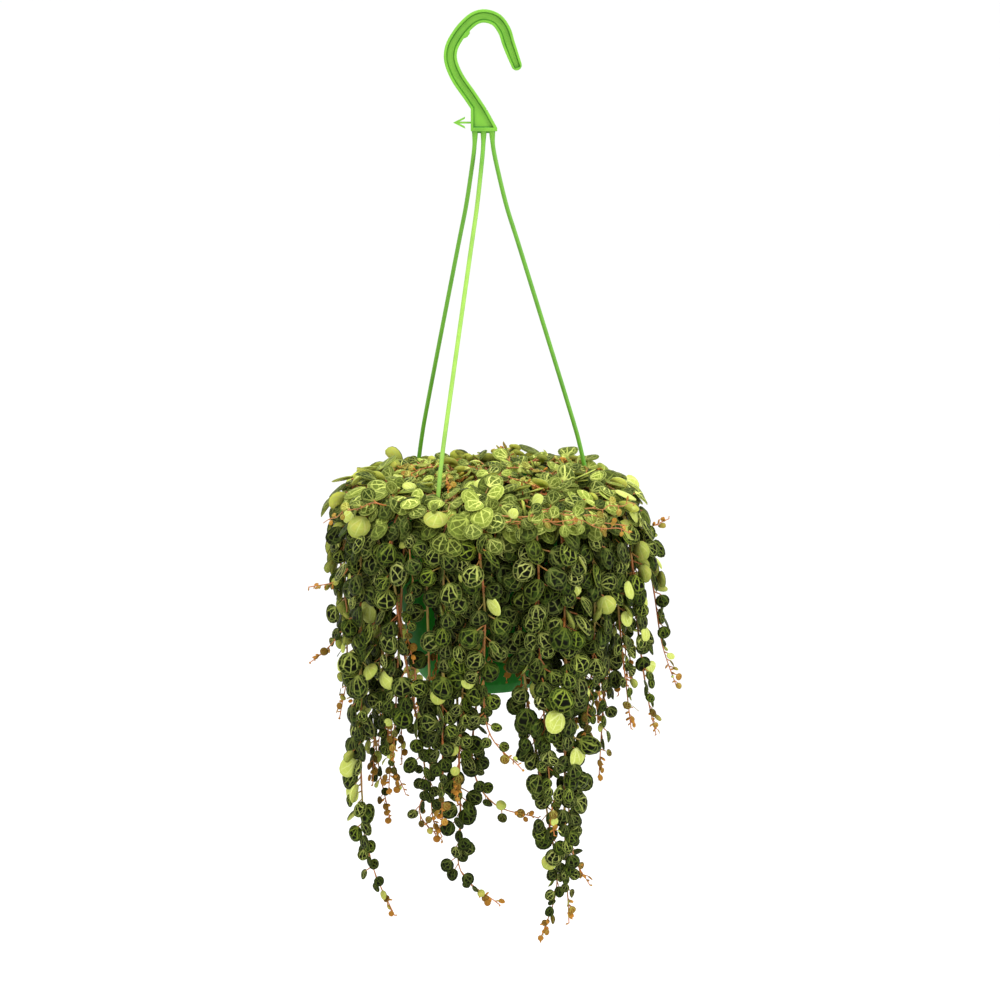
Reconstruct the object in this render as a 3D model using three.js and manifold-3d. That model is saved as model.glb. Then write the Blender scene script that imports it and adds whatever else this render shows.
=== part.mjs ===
// A hanging pot of string of turtles: a moulded hook hanger with three strands, a round pot,
// soil, and stems with small round fleshy leaves that cover the soil and hang over the rim.
// Millimetres, +Z up. The origin is the flat at the top inside the hook, where it hangs.
import * as THREE from "three";
import { mergeVertices } from "three/addons/utils/BufferGeometryUtils.js";
import Module from "manifold-3d";

const wasm = await Module();
wasm.setup();

// Pot: radii and heights above its foot
const gap = 0.3;
const potSides = 26;
const potHeight = 131;
const wall = 1.2;
const footRadius = 36;
const waistRadius = 53.2;
const waistHeight = 47;
const mouthRadius = 66.8;
const rimRadius = 75;
const rimThickness = 1.4;
const skirtDrop = 4.5;
const baseRecess = 2.8;
const drainHoleRadius = 3;
const drainRingRadius = 20;

// Heights below the hook's seat
const rimTop = -309;
const potFoot = rimTop - potHeight;
const soilTop = rimTop - 13;
const barTop = -68.8;
const barBottom = -70.7;

// Hanger
const hangerDepth = 6;
const webThickness = 2;
const ribbonWidth = 8.5;
const flangeWidth = 1.6;
const strandRadius = 1.45;
const strandTops = [-4.6, 1, 6.5];
const strandAngles = [129, 246, 6];
const holeRingRadius = 70.6;
const rimHoleRadius = 2.1;

// Stems and leaves
const stemRadius = 1.2;
const crownLength = 80;
const crownStep = 16.5;
const fallStep = 29;
const leafLength = 16.5;
const youngLength = 65;
const runnerYoungLength = 170;
const crestRadius = 78;
const crestHeight = 4.5;
const stemHoleRadius = 3;
const rootDepth = 9;

const degrees = Math.PI / 180;
const up = new THREE.Vector3(0, 0, 1);

const colours = {
  hanger: 0x5cb52a,
  pot: 0x145a26,
  soil: 0x3a2c20,
  leaf: 0x3f5a26,
  topLeaf: 0x7d9a58,
};

// Solids

function toSolid(geometry) {
  const bare = geometry.clone();
  bare.deleteAttribute("normal");
  bare.deleteAttribute("uv");
  const merged = mergeVertices(bare, 1e-4);
  return new wasm.Manifold(new wasm.Mesh({
    numProp: 3,
    vertProperties: new Float32Array(merged.attributes.position.array),
    triVerts: new Uint32Array(merged.index.array),
  }));
}

function toGeometry(solid) {
  const mesh = solid.getMesh();
  const geometry = new THREE.BufferGeometry();
  geometry.setAttribute("position", new THREE.BufferAttribute(mesh.vertProperties, 3));
  geometry.setIndex(new THREE.BufferAttribute(mesh.triVerts, 1));
  return geometry;
}

function join(geometries) {
  return geometries.map(toSolid).reduce((whole, piece) => whole.add(piece));
}

function cut(solid, geometries) {
  return geometries.map(toSolid).reduce((whole, piece) => whole.subtract(piece), solid);
}

function named(name, geometry, colour, roughness) {
  const material = new THREE.MeshStandardMaterial({ color: colour, roughness, metalness: 0 });
  const mesh = new THREE.Mesh(geometry, material);
  mesh.name = name;
  return mesh;
}

// A plate in the XZ plane, centred on y = 0
function plate(outline, depth) {
  const geometry = new THREE.ExtrudeGeometry(outline, { depth, bevelEnabled: false });
  geometry.translate(0, 0, -depth / 2);
  geometry.rotateX(Math.PI / 2);
  return geometry;
}

function outlineOf(points) {
  return new THREE.Shape(points.map(([x, z]) => new THREE.Vector2(x, z)));
}

function cylinderAt(x, y, bottom, top, lowRadius, highRadius, sides) {
  const geometry = new THREE.CylinderGeometry(highRadius, lowRadius, top - bottom, sides);
  geometry.rotateX(Math.PI / 2);
  geometry.translate(x, y, (top + bottom) / 2);
  return geometry;
}

// A path with straight stretches from joint to joint, whose steps fall on the joints
class JointedPath extends THREE.Curve {
  constructor(joints) {
    super();
    this.joints = joints;
  }

  getPoint(t, target = new THREE.Vector3()) {
    const last = this.joints.length - 1;
    const i = Math.min(Math.floor(t * last), last - 1);
    return target.lerpVectors(this.joints[i], this.joints[i + 1], t * last - i);
  }

  getUtoTmapping(u) {
    return u;
  }
}

// A straight-sided rod from joint to joint
function rodGeometry(joints, radius, sides) {
  const corners = Array.from({ length: sides }, (_, i) => {
    const turn = (i / sides) * 360 * degrees;
    return new THREE.Vector2(radius * Math.cos(turn), radius * Math.sin(turn));
  });
  return new THREE.ExtrudeGeometry(new THREE.Shape(corners), {
    steps: joints.length - 1,
    extrudePath: new JointedPath(joints),
    bevelEnabled: false,
  });
}

function cylindrical(radius, angle, z) {
  return new THREE.Vector3(radius * Math.cos(angle), radius * Math.sin(angle), z);
}

// Pot and soil share their sides, so that the soil follows the wall at an even gap

function lathe(profile) {
  const points = profile.map(([radius, height]) => new THREE.Vector2(radius, height));
  const geometry = new THREE.LatheGeometry(points, potSides);
  geometry.rotateX(Math.PI / 2);
  geometry.translate(0, 0, potFoot);
  return geometry;
}

function innerWall(offset) {
  return [
    [footRadius + 1.5 - offset, baseRecess + wall + offset],
    [40.8 - offset, 8 + offset],
    [47.4 - offset, 23 + offset],
    [waistRadius - wall - offset, waistHeight + offset],
  ];
}

function makePot() {
  const innerMouth = mouthRadius - wall;
  const flangeUnder = potHeight - rimThickness;
  const skirtInner = rimRadius - rimThickness;
  const profile = [
    [0, baseRecess],
    [footRadius - 6.6, baseRecess],
    [footRadius - 6, 0],
    [footRadius, 0],
    [42.5, 7.5],
    [48.6, 22],
    [waistRadius, waistHeight],
    [mouthRadius, flangeUnder],
    [skirtInner, flangeUnder],
    [skirtInner, potHeight - skirtDrop],
    [rimRadius, potHeight - skirtDrop],
    [rimRadius, potHeight],
    [innerMouth, potHeight],
    ...innerWall(0).reverse(),
    [0, baseRecess + wall],
  ];
  const rimHoles = strandAngles.map((angle) => {
    const centre = cylindrical(holeRingRadius, angle * degrees, 0);
    return cylinderAt(centre.x, centre.y, rimTop - 3, rimTop + 3, rimHoleRadius, rimHoleRadius, 8);
  });
  const drainHoles = [45, 135, 225, 315].map((angle) => {
    const centre = cylindrical(drainRingRadius, angle * degrees, 0);
    return cylinderAt(centre.x, centre.y, potFoot - 3, potFoot + 10, drainHoleRadius, drainHoleRadius, 6);
  });
  return toGeometry(cut(toSolid(lathe(profile)), [...rimHoles, ...drainHoles]));
}

function makeSoil(roots) {
  const topHeight = soilTop - potFoot;
  const profile = [
    [0, baseRecess + wall + gap],
    ...innerWall(gap * 1.2),
    [62.6, topHeight - 1.6],
    [52, topHeight],
    [0, topHeight + 1],
  ];
  const holeDepth = rootDepth + 1;
  const holes = roots.map(({ x, y }) => (
    cylinderAt(x, y, soilTop - holeDepth, soilTop + holeDepth, stemHoleRadius, stemHoleRadius, 3)
  ));
  return toGeometry(cut(toSolid(lathe(profile)), holes));
}

// Hanger

const hookCentreLine = [
  [-0.6, -58.6], [-8, -47.6], [-16, -36], [-20.3, -25.4], [-20, -17], [-16.2, -9.4], [-10.8, -2.6],
  [-4.4, 2.6], [2.4, 3.9], [9.6, 1.2], [14.6, -5.6], [17.2, -13.6], [20.8, -23.4], [22.5, -27.8],
];

function ribbon(centreLine, width, endTrim) {
  const curve = new THREE.SplineCurve(centreLine.map(([x, z]) => new THREE.Vector2(x, z)));
  const steps = 20;
  const left = [];
  const right = [];
  for (let i = 0; i <= steps; i += 1) {
    const along = endTrim + (1 - 2 * endTrim) * (i / steps);
    const point = curve.getPointAt(along);
    const tangent = curve.getTangentAt(along);
    const taper = 1 - 0.2 * THREE.MathUtils.smoothstep(along, 0.8, 1);
    const side = new THREE.Vector2(-tangent.y, tangent.x).multiplyScalar((width * taper) / 2);
    left.push(point.clone().add(side));
    right.push(point.clone().sub(side));
  }
  const tip = curve.getPointAt(1 - endTrim);
  const reach = right.at(-1).clone().sub(tip);
  const turned = (angle) => reach.clone().rotateAround(new THREE.Vector2(), angle * degrees);
  const round = [45, 90, 135].map((angle) => turned(angle).add(tip));
  return new THREE.Shape([...right, ...round, ...left.reverse()]);
}

function strandJoints(top, angle) {
  const lug = cylindrical(holeRingRadius, angle * degrees, rimTop);
  // How far out a strand is at each part of its height: straight down, bent out, then straight
  const course = [
    [0, 0], [0.05, 0.012], [0.12, 0.065], [0.22, 0.157], [0.34, 0.297], [0.78, 0.8], [0.9, 0.925], [1, 1],
  ];
  const joints = course.map(([down, out]) => new THREE.Vector3(
    THREE.MathUtils.lerp(top, lug.x, out),
    lug.y * out,
    THREE.MathUtils.lerp(barBottom + 1, rimTop + 3, down),
  ));
  return [...joints, lug.setZ(rimTop - rimThickness - 3)];
}

function makeStrand(top, angle) {
  const lug = cylindrical(holeRingRadius, angle * degrees, 0);
  const under = rimTop - rimThickness - gap;
  return [
    rodGeometry(strandJoints(top, angle), strandRadius, 6),
    cylinderAt(top, 0, barBottom - 3.5, barBottom + 1, strandRadius, 2, 6),
    cylinderAt(lug.x, lug.y, rimTop + gap, rimTop + gap + 1.2, 3, 3, 6),
    cylinderAt(lug.x, lug.y, under - 3.4, under, 1, 2.6, 6),
  ];
}

function makeHanger() {
  const gusset = [[-7.4, -54], [-7.4, barBottom], [9.9, barBottom], [9.9, barTop], [3.4, -57]];
  const seatStop = [
    [-6.4, -2.4], [-8, -4.6], [-7.9, -7.4], [-9.6, -9.6], [-12.6, -11], [-15, -12], [-13, -4],
  ];
  const tongue = [
    [-5.5, -64.6], [-15, -64.6], [-11.4, -62.8], [-11, -61.3], [-18.9, -65.2], [-11, -69.1],
    [-11.4, -67.6], [-15, -65.8], [-5.5, -65.8],
  ];
  const gussetWeb = [[-5.3, -60.2], [-5.3, -67.2], [6.2, -67.2], [1.2, -60.2]];
  const recessDepth = (hangerDepth - webThickness) / 2;
  const webs = [ribbon(hookCentreLine, ribbonWidth - 2 * flangeWidth, 0.03), outlineOf(gussetWeb)];
  const recesses = webs.flatMap((outline) => [-1, 1].map((side) => {
    const recess = plate(outline, recessDepth * 2);
    recess.translate(0, (side * hangerDepth) / 2, 0);
    return recess;
  }));
  const seat = new THREE.BoxGeometry(8, hangerDepth * 2, 3);
  seat.translate(0, 0, -1.5);
  const moulding = join([
    plate(ribbon(hookCentreLine, ribbonWidth, 0), hangerDepth),
    plate(outlineOf(gusset), hangerDepth),
    plate(outlineOf(seatStop), hangerDepth),
    plate(outlineOf(tongue), webThickness),
  ]);
  const strands = strandTops.flatMap((top, i) => makeStrand(top, strandAngles[i]));
  return toGeometry(cut(moulding, [...recesses, seat]).add(join(strands)));
}

// Stems. Each is a smooth curve walked in equal steps, with a leaf at every step.

// The front ones, from left to right: where each hangs from (x, and reach from the pot's axis),
// and the x and drop below the rim of the points it falls through. Runners are young, with small
// leaves.
const frontStems = [
  { x: -82, reach: 88, fall: [[-84, 38], [-95, 55], [-115, 60]], runner: true },
  { x: -89, reach: 91, fall: [[-94, 50], [-90, 84], [-102, 103], [-115, 114]], runner: true },
  { x: -80, reach: 87, fall: [[-81, 90], [-86, 143]] },
  { x: -78, reach: 105, fall: [[-79, 110], [-79, 190], [-73, 238], [-58, 275]] },
  { x: -72, reach: 88, fall: [[-71, 100], [-70, 165], [-61, 215]] },
  { x: -67, reach: 100, fall: [[-64, 100], [-60, 160], [-50, 191]] },
  { x: -58, reach: 104, fall: [[-52, 80], [-37, 172], [-41, 200], [-26, 219]], runner: true },
  { x: -50, reach: 96, fall: [[-54, 90], [-58, 166]] },
  { x: -46, reach: 105, fall: [[-44, 50], [-48, 76], [-44, 98]], runner: true },
  { x: -35, reach: 94, fall: [[-34, 110], [-33, 195], [-26, 216]] },
  { x: -24, reach: 104, fall: [[-25, 100], [-26, 204]] },
  { x: -18, reach: 93, fall: [[-16, 120], [-14, 200], [-14, 238], [12, 262]] },
  { x: -10, reach: 103, fall: [[-12, 100], [-16, 188]] },
  { x: -1, reach: 110, fall: [[2, 60], [3, 134], [26, 165]], runner: true },
  { x: 8, reach: 94, fall: [[-2, 110], [-6, 165], [8, 192], [37, 202]], runner: true },
  { x: 22, reach: 94, fall: [[28, 110], [42, 195], [49, 246], [38, 286]] },
  { x: 36, reach: 104, fall: [[38, 100], [47, 212]] },
  { x: 52, reach: 104, fall: [[54, 110], [54, 205], [57, 274]] },
  { x: 60, reach: 92, fall: [[61, 110], [57, 195], [60, 232], [71, 254]] },
  { x: 71, reach: 104, fall: [[73, 80], [66, 164]] },
  { x: 77, reach: 94, fall: [[80, 110], [77, 186]] },
  { x: 86, reach: 104, fall: [[90, 80], [98, 150]] },
  { x: 90, reach: 96, fall: [[93, 70], [96, 126]] },
  { x: 96, reach: 107, fall: [[103, 90], [109, 130], [115, 157]] },
  { x: 103, reach: 107, fall: [[112, 55], [119, 98], [129, 128]] },
  { x: 96, reach: 97, fall: [[110, 23], [124, 17]], runner: true },
];
const backStemCount = 18;
const backReaches = [91, 100, 87, 96];
const backLean = 6;
const backDrops = [120, 80, 165, 100, 195];
const shortStemCount = 10;

// A seeded draw from 0 to 1, the same on every run
let drawState = 1;
function seedDraws(number) {
  drawState = 12345 + number * 7919;
  draw();
  draw();
}
function draw() {
  drawState = (drawState * 48271) % 2147483647;
  return drawState / 2147483647;
}
function drawBetween(low, high) {
  return low + (high - low) * draw();
}

// A stem that would run into a strand at the rim goes past it, on the side where it hangs
function besideStrands(angle, hangAngle) {
  const passing = 6 * degrees;
  const offsetFrom = (strand, turn) => Math.atan2(Math.sin(turn - strand), Math.cos(turn - strand));
  for (const strand of strandAngles.map((lug) => lug * degrees)) {
    const side = Math.sign(offsetFrom(strand, hangAngle));
    const offset = offsetFrom(strand, angle);
    if (Math.abs(offset) < passing) return angle - offset + side * passing;
  }
  return angle;
}

function overRim(rootRadius, rootAngle, reach, angle) {
  const crest = crestHeight + (reach - 90) * 0.12;
  const turned = (part) => besideStrands(THREE.MathUtils.lerp(rootAngle, angle, part), angle);
  return [
    cylindrical(rootRadius, rootAngle, soilTop + 3),
    cylindrical(THREE.MathUtils.lerp(rootRadius, crestRadius, 0.4), turned(0.4), rimTop + crest * 0.8),
    cylindrical(crestRadius, turned(0.8), rimTop + crest),
    cylindrical(THREE.MathUtils.lerp(crestRadius, reach, 0.62), turned(0.95), rimTop + crest - 6),
    cylindrical(reach, angle, rimTop - 24),
  ];
}

function frontStem({ x, reach, fall }, index) {
  const angle = -Math.acos(x / reach);
  const rootAngle = -Math.PI * (1 - (index + 0.5) / frontStems.length);
  const controls = overRim([26, 50, 38][index % 3], rootAngle, reach, angle);
  const hangY = controls.at(-1).y;
  fall.forEach(([across, drop], i) => {
    controls.push(new THREE.Vector3(across, hangY * (1 - 0.02 * (i + 1)), rimTop - drop));
  });
  return controls;
}

function backStem(index) {
  seedDraws(500 + index);
  const rootAngle = (Math.PI * (index + 0.5)) / backStemCount;
  const angle = rootAngle + drawBetween(-1.5, 1.5) * degrees;
  const lean = backLean * Math.cos(angle);
  const reach = backReaches[index % backReaches.length] + lean + drawBetween(-1, 1);
  const drop = backDrops[index % backDrops.length] + drawBetween(-12, 12);
  const controls = overRim([38, 26, 50][index % 3], rootAngle, reach, angle);
  const drift = drawBetween(-7, 7) * degrees;
  const curl = drawBetween(-4, 8);
  controls.push(cylindrical(reach - 1, angle + drift * 0.2, rimTop - drop * 0.45));
  controls.push(cylindrical(reach - 2, angle + drift * 0.6, rimTop - drop * 0.8));
  controls.push(cylindrical(reach - 2 + curl, angle + drift, rimTop - drop));
  return controls;
}

// Short ones rise from the middle of the soil and lie over the top
function shortStem(index) {
  seedDraws(900 + index);
  const angle = (24 + index * 137.5) * degrees;
  const rootRadius = 6.2 * Math.sqrt(index + 0.6);
  const height = rimTop + 12 + 2.5 * (index % 3);
  const bend = drawBetween(34, 42) * degrees;
  return [
    cylindrical(rootRadius, angle, soilTop + 3),
    cylindrical(rootRadius + 4, angle, rimTop + 2),
    cylindrical(rootRadius + 14, angle + bend * 0.3, height),
    cylindrical(rootRadius + 32, angle + bend * 0.7, height + 1),
    cylindrical(rootRadius + 52, angle + bend, height - 4),
  ];
}

// A stem stands upright in its hole, then goes in straight steps along a smooth curve. They are
// shorter on top of the pot, where the leaves are close together.
function walk(controls, young = youngLength) {
  const curve = new THREE.CatmullRomCurve3(controls, false, "catmullrom", 0.5);
  const dense = curve.getPoints((controls.length - 1) * 40);
  const joints = [{ place: dense[0].clone().setZ(soilTop - rootDepth) }, { place: dense[0] }];
  const total = dense.slice(1).reduce((sum, point, i) => sum + point.distanceTo(dense[i]), 0);
  let travelled = 0;
  let next = crownStep;
  for (let i = 1; i < dense.length && next < total - fallStep * 0.6; i += 1) {
    const stretch = dense[i].distanceTo(dense[i - 1]);
    if (travelled + stretch >= next) {
      const place = dense[i - 1].clone().lerp(dense[i], (next - travelled) / stretch);
      joints.push({ place, left: total - next, young });
      next += next < crownLength ? crownStep : fallStep;
    }
    travelled += stretch;
  }
  return [...joints, { place: dense.at(-1), left: 0, young }];
}

// Leaves. Each is a lens with a domed top, whose root is a short edge inside the stem.

const leafOutline = [
  [0, 0], [0.3, -0.2], [0.62, -0.43], [0.94, -0.24], [0.94, 0.24], [0.62, 0.43], [0.3, 0.2],
];
const domeCentre = 0.6;
const domeHeight = 0.14;
const rootSink = 0.5;
const rootShare = 0.25;

function leafAt(root, along, normal, length) {
  const across = normal.clone().cross(along);
  const place = (u, v, h) => root.clone()
    .addScaledVector(along, u * length - (u === 0 ? rootSink : 0))
    .addScaledVector(across, v * length)
    .addScaledVector(normal, h);
  const rim = leafOutline.map(([u, v]) => place(u, v, 0));
  const nextOf = (i) => rim[(i + 1) % rim.length].clone();
  const edges = rim.map((point, i) => nextOf(i).sub(point).cross(normal).normalize());
  return {
    points: [...rim, place(domeCentre, 0, domeHeight * length)],
    axes: [normal, across, ...edges],
    centre: place(0.5, 0, 0),
    radius: 0.56 * length,
    length,
  };
}

function leafGeometry(leaf) {
  const corners = leafOutline.length;
  const index = [];
  for (let i = 0; i < corners; i += 1) index.push(i, (i + 1) % corners, corners);
  for (let i = 1; i < corners - 1; i += 1) index.push(0, i + 1, i);
  const geometry = new THREE.BufferGeometry();
  const coordinates = leaf.points.flatMap((point) => point.toArray());
  geometry.setAttribute("position", new THREE.Float32BufferAttribute(coordinates, 3));
  geometry.setIndex(index);
  return geometry;
}

// Two shapes are clear of each other if one of these axes parts them
function apart(a, b, clearance) {
  const axes = [...a.axes, ...b.axes, a.centre.clone().sub(b.centre).normalize()];
  axes.push(a.axes[0].clone().cross(b.axes[0]).normalize());
  return axes.some((axis) => {
    const ofA = a.points.map((point) => point.dot(axis));
    const ofB = b.points.map((point) => point.dot(axis));
    const between = Math.max(Math.min(...ofA) - Math.max(...ofB), Math.min(...ofB) - Math.max(...ofA));
    return between > clearance;
  });
}

function isClear(a, b, clearance) {
  return a.centre.distanceTo(b.centre) > a.radius + b.radius + clearance || apart(a, b, clearance);
}

function rod(from, to, owner) {
  return {
    points: [from, to],
    axes: [to.clone().sub(from).normalize()],
    centre: from.clone().lerp(to, 0.5),
    radius: from.distanceTo(to) / 2,
    owner,
  };
}

function rodsAlong(points, owner) {
  return points.slice(1).map((point, i) => rod(points[i], point, owner));
}

// A leaf keeps off the pot's wall and rim and off the soil
function clearOfPot(leaf) {
  const outward = new THREE.Vector3(leaf.centre.x, leaf.centre.y, 0).normalize();
  const over = leaf.points.every((point) => point.z > rimTop + 0.6);
  const outside = leaf.points.every((point) => point.dot(outward) > rimRadius + 0.8);
  const corner = (point) => (point.dot(outward) + point.z) * Math.SQRT1_2;
  const aslant = leaf.points.every((point) => corner(point) > (rimRadius + rimTop) * Math.SQRT1_2 + 0.6);
  return over || outside || aslant;
}

function leafTry(joints, i, side) {
  const { place, left, young } = joints[i];
  const here = place.clone().lerp(joints[i - 1].place, rootShare);
  const ahead = joints[Math.min(i + 1, joints.length - 1)].place;
  const tangent = ahead.clone().sub(joints[i - 1].place).normalize();
  const radial = new THREE.Vector3(here.x, here.y, 0).normalize();
  const outness = tangent.dot(radial);
  const face = radial.multiplyScalar(Math.max(-tangent.z, 0.25));
  face.addScaledVector(up, Math.max(outness, 0.35));
  face.addScaledVector(tangent, -face.dot(tangent)).normalize();
  const sideways = tangent.clone().cross(face).multiplyScalar(side);
  const atTip = i === joints.length - 1;
  const along = sideways.clone().multiplyScalar(atTip ? 0.3 : 1)
    .addScaledVector(tangent, drawBetween(0, 0.75))
    .addScaledVector(face, drawBetween(0.05, 0.6))
    .normalize();
  const normal = face.clone()
    .addScaledVector(sideways, drawBetween(-0.35, 0.35))
    .addScaledVector(tangent, drawBetween(-0.45, 0.15));
  normal.addScaledVector(along, -normal.dot(along)).normalize();
  const grown = 0.32 + 0.68 * Math.min(left / young, 1);
  return leafAt(here, along, normal, leafLength * grown * drawBetween(0.85, 1.1));
}

const placesOf = (joints) => joints.map(({ place }) => place);

const stems = [
  ...frontStems.map((stem, i) => ({
    name: "front_stem",
    joints: walk(frontStem(stem, i), stem.runner ? runnerYoungLength : youngLength),
  })),
  ...Array.from({ length: backStemCount }, (_, i) => ({ name: "back_stem", joints: walk(backStem(i)) })),
  ...Array.from({ length: shortStemCount }, (_, i) => ({ name: "short_stem", joints: walk(shortStem(i)) })),
];

const strandRods = strandTops.flatMap((top, i) => rodsAlong(strandJoints(top, strandAngles[i]), "hanger"));
const rods = [...strandRods, ...stems.flatMap(({ joints }, i) => rodsAlong(placesOf(joints), i))];
const leaves = [];
const tries = 14;
const leafGap = 0.35;
const firstLeaf = 2;

stems.forEach((stem, owner) => {
  for (let i = firstLeaf; i < stem.joints.length; i += 1) {
    seedDraws(owner * 101 + i);
    for (let k = 0; k < tries; k += 1) {
      const side = (i + k) % 2 === 0 ? 1 : -1;
      const leaf = leafTry(stem.joints, i, side);
      const free = clearOfPot(leaf)
        && rods.every((other) => other.owner === owner || isClear(leaf, other, stemRadius + leafGap))
        && leaves.every((other) => isClear(leaf, other, other.owner === owner ? 0 : leafGap));
      if (free) {
        leaves.push({ ...leaf, owner });
        break;
      }
    }
  }
});

function makeStem(joints, owner) {
  const own = leaves.filter((leaf) => leaf.owner === owner);
  return toGeometry(join([rodGeometry(placesOf(joints), stemRadius, 3), ...own.map(leafGeometry)]));
}

const plant = new THREE.Group();
stems.forEach(({ name, joints }, owner) => {
  const number = stems.slice(0, owner + 1).filter((stem) => stem.name === name).length;
  const label = `${name}_${String(number).padStart(2, "0")}`;
  const colour = name === "short_stem" ? colours.topLeaf : colours.leaf;
  plant.add(named(label, makeStem(joints, owner), colour, 0.45));
});

const object = new THREE.Group();
object.add(named("hanger", makeHanger(), colours.hanger, 0.35));
object.add(named("pot", makePot(), colours.pot, 0.4));
object.add(named("soil", makeSoil(stems.map(({ joints }) => joints[0].place)), colours.soil, 0.95));
object.add(plant);

export default object;
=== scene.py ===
import math

import bmesh
import bpy
import numpy as np
from mathutils import Matrix, Vector, noise


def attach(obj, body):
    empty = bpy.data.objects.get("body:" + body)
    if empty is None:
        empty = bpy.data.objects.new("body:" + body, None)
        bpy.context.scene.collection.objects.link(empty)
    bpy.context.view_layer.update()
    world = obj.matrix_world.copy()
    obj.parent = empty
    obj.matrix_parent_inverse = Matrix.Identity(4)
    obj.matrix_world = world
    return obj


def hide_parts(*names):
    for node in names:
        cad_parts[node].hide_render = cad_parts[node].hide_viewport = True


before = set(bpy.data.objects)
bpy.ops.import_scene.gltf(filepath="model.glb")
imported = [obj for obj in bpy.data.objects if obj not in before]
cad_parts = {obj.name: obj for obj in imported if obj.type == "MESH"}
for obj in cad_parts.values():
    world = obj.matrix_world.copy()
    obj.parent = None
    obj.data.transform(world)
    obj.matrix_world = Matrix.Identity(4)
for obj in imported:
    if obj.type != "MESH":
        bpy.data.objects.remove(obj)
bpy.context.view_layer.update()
print("frame loaded,", len(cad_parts), "nodes")

degrees = math.pi / 180
fullTurn = 2 * math.pi
up = np.array([0.0, 0.0, 1.0])

# Heights in millimetres, counted from the flat at the top inside the hook
rimTop, soilTop, potFoot, barBottom = -309, -322, -440, -70.7
# Degrees around the pot where the strands end, and the radii of their ring and of the rim
strandAngles = (129, 246, 6)
holeRing, rimRadius = 70.6, 75


def addObject(name, data):
    item = bpy.data.objects.new(name, data)
    bpy.context.collection.objects.link(item)
    return item


def meshFrom(name, bm):
    mesh = bpy.data.meshes.new(name)
    bm.to_mesh(mesh)
    bm.free()
    return mesh


# Camera and lights

view = {
    "elevation": 10.5, "distance": 2.3, "acrossFrame": 0.65, "sensor": 36,
    "target": (0.0117, -0.0566, -0.3055),
}
lamps = {
    "overhead": {"place": (0.1, -0.3, 1.3), "size": 1.0, "power": 30},
    "frontLeft": {"place": (-1.6, -1.7, 0.7), "size": 0.9, "power": 20},
    "frontRight": {"place": (1.8, -1.2, 0.3), "size": 0.9, "power": 24},
}
lampAim = Vector((0, 0, -0.35))
studioGlow = 1.04

cameraData = bpy.data.cameras.new("camera")
cameraData.sensor_width = view["sensor"]
cameraData.lens = view["sensor"] * view["distance"] / view["acrossFrame"]
cameraData.clip_end = 100
camera = addObject("camera", cameraData)
tilt = view["elevation"] * degrees
back = Vector((0, -math.cos(tilt), math.sin(tilt)))
camera.location = Vector(view["target"]) + back * view["distance"]
camera.rotation_euler = (-back).to_track_quat("-Z", "Y").to_euler()
bpy.context.scene.camera = camera
bpy.context.scene.view_settings.view_transform = "Standard"

for name, lamp in lamps.items():
    lampData = bpy.data.lights.new(name, "AREA")
    lampData.size = lamp["size"]
    lampData.energy = lamp["power"]
    lampObject = addObject(name, lampData)
    lampObject.location = lamp["place"]
    lampObject.rotation_euler = (lampAim - lampObject.location).to_track_quat("-Z", "Y").to_euler()

world = bpy.data.worlds.new("studio")
world.use_nodes = True
world.node_tree.nodes["Background"].inputs["Color"].default_value = (1, 1, 1, 1)
world.node_tree.nodes["Background"].inputs["Strength"].default_value = studioGlow
bpy.context.scene.world = world


# Material helpers

# A value in a material's nodes. Sums done with it add the nodes that work them out
class Value:
    def __init__(self, tree, socket):
        self.tree, self.socket = tree, socket

    def maths(self, operation, *others):
        return addNode(self.tree, "ShaderNodeMath", dict(enumerate((self, *others))), operation=operation)

    def __add__(self, other):
        return self.maths("ADD", other)

    def __sub__(self, other):
        return self.maths("SUBTRACT", other)

    def __mul__(self, other):
        return self.maths("MULTIPLY", other)

    def __truediv__(self, other):
        return self.maths("DIVIDE", other)


def plug(node, socket, value):
    if isinstance(value, Value):
        value.tree.links.new(value.socket, node.inputs[socket])
    else:
        node.inputs[socket].default_value = value


def addNode(tree, kind, inputs, output=0, **settings):
    node = tree.nodes.new(kind)
    for key, setting in settings.items():
        setattr(node, key, setting)
    for socket, value in inputs.items():
        plug(node, socket, value)
    return Value(tree, node.outputs[output])


def newMaterial(name, roughness, shine=0.5):
    material = bpy.data.materials.new(name)
    material.use_nodes = True
    shader = material.node_tree.nodes["Principled BSDF"]
    plug(shader, "Roughness", roughness)
    plug(shader, "Specular IOR Level", shine)
    return material, material.node_tree, shader


def objectPlace(tree):
    return addNode(tree, "ShaderNodeTexCoord", {}, "Object")


def apart(value, kind):
    node = value.tree.nodes.new(kind)
    plug(node, 0, value)
    return [Value(value.tree, socket) for socket in node.outputs]


def ramp(value, start, end, low=0.0, high=1.0):
    inputs = dict(enumerate((value, start, end, low, high)))
    return addNode(value.tree, "ShaderNodeMapRange", inputs, interpolation_type="SMOOTHSTEP")


def blend(share, first, second):
    first, second = (colour if isinstance(colour, Value) else (*colour, 1) for colour in (first, second))
    return addNode(share.tree, "ShaderNodeMix", {0: share, 6: first, 7: second}, 2, data_type="RGBA")


def speckle(place, scale, detail=2.0, output="Fac"):
    inputs = {"Vector": place, "Scale": scale, "Detail": detail}
    return addNode(place.tree, "ShaderNodeTexNoise", inputs, output)


def relief(shader, height, strength, distance):
    inputs = {"Strength": strength, "Distance": distance, "Height": height}
    plug(shader, "Normal", addNode(height.tree, "ShaderNodeBump", inputs))


# Soft patches: their scale and detail, the noise at which they start and are full, and their strengths
def patches(place, scale, detail, start, end, low=0.0, high=1.0):
    return ramp(speckle(place, scale, detail), start, end, low, high)


def addGrain(shader, place, scale, detail, strength, distance):
    relief(shader, speckle(place, scale, detail), strength, distance)


# Piece helpers. Shapes are drawn in millimetres, then brought to metres

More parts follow.
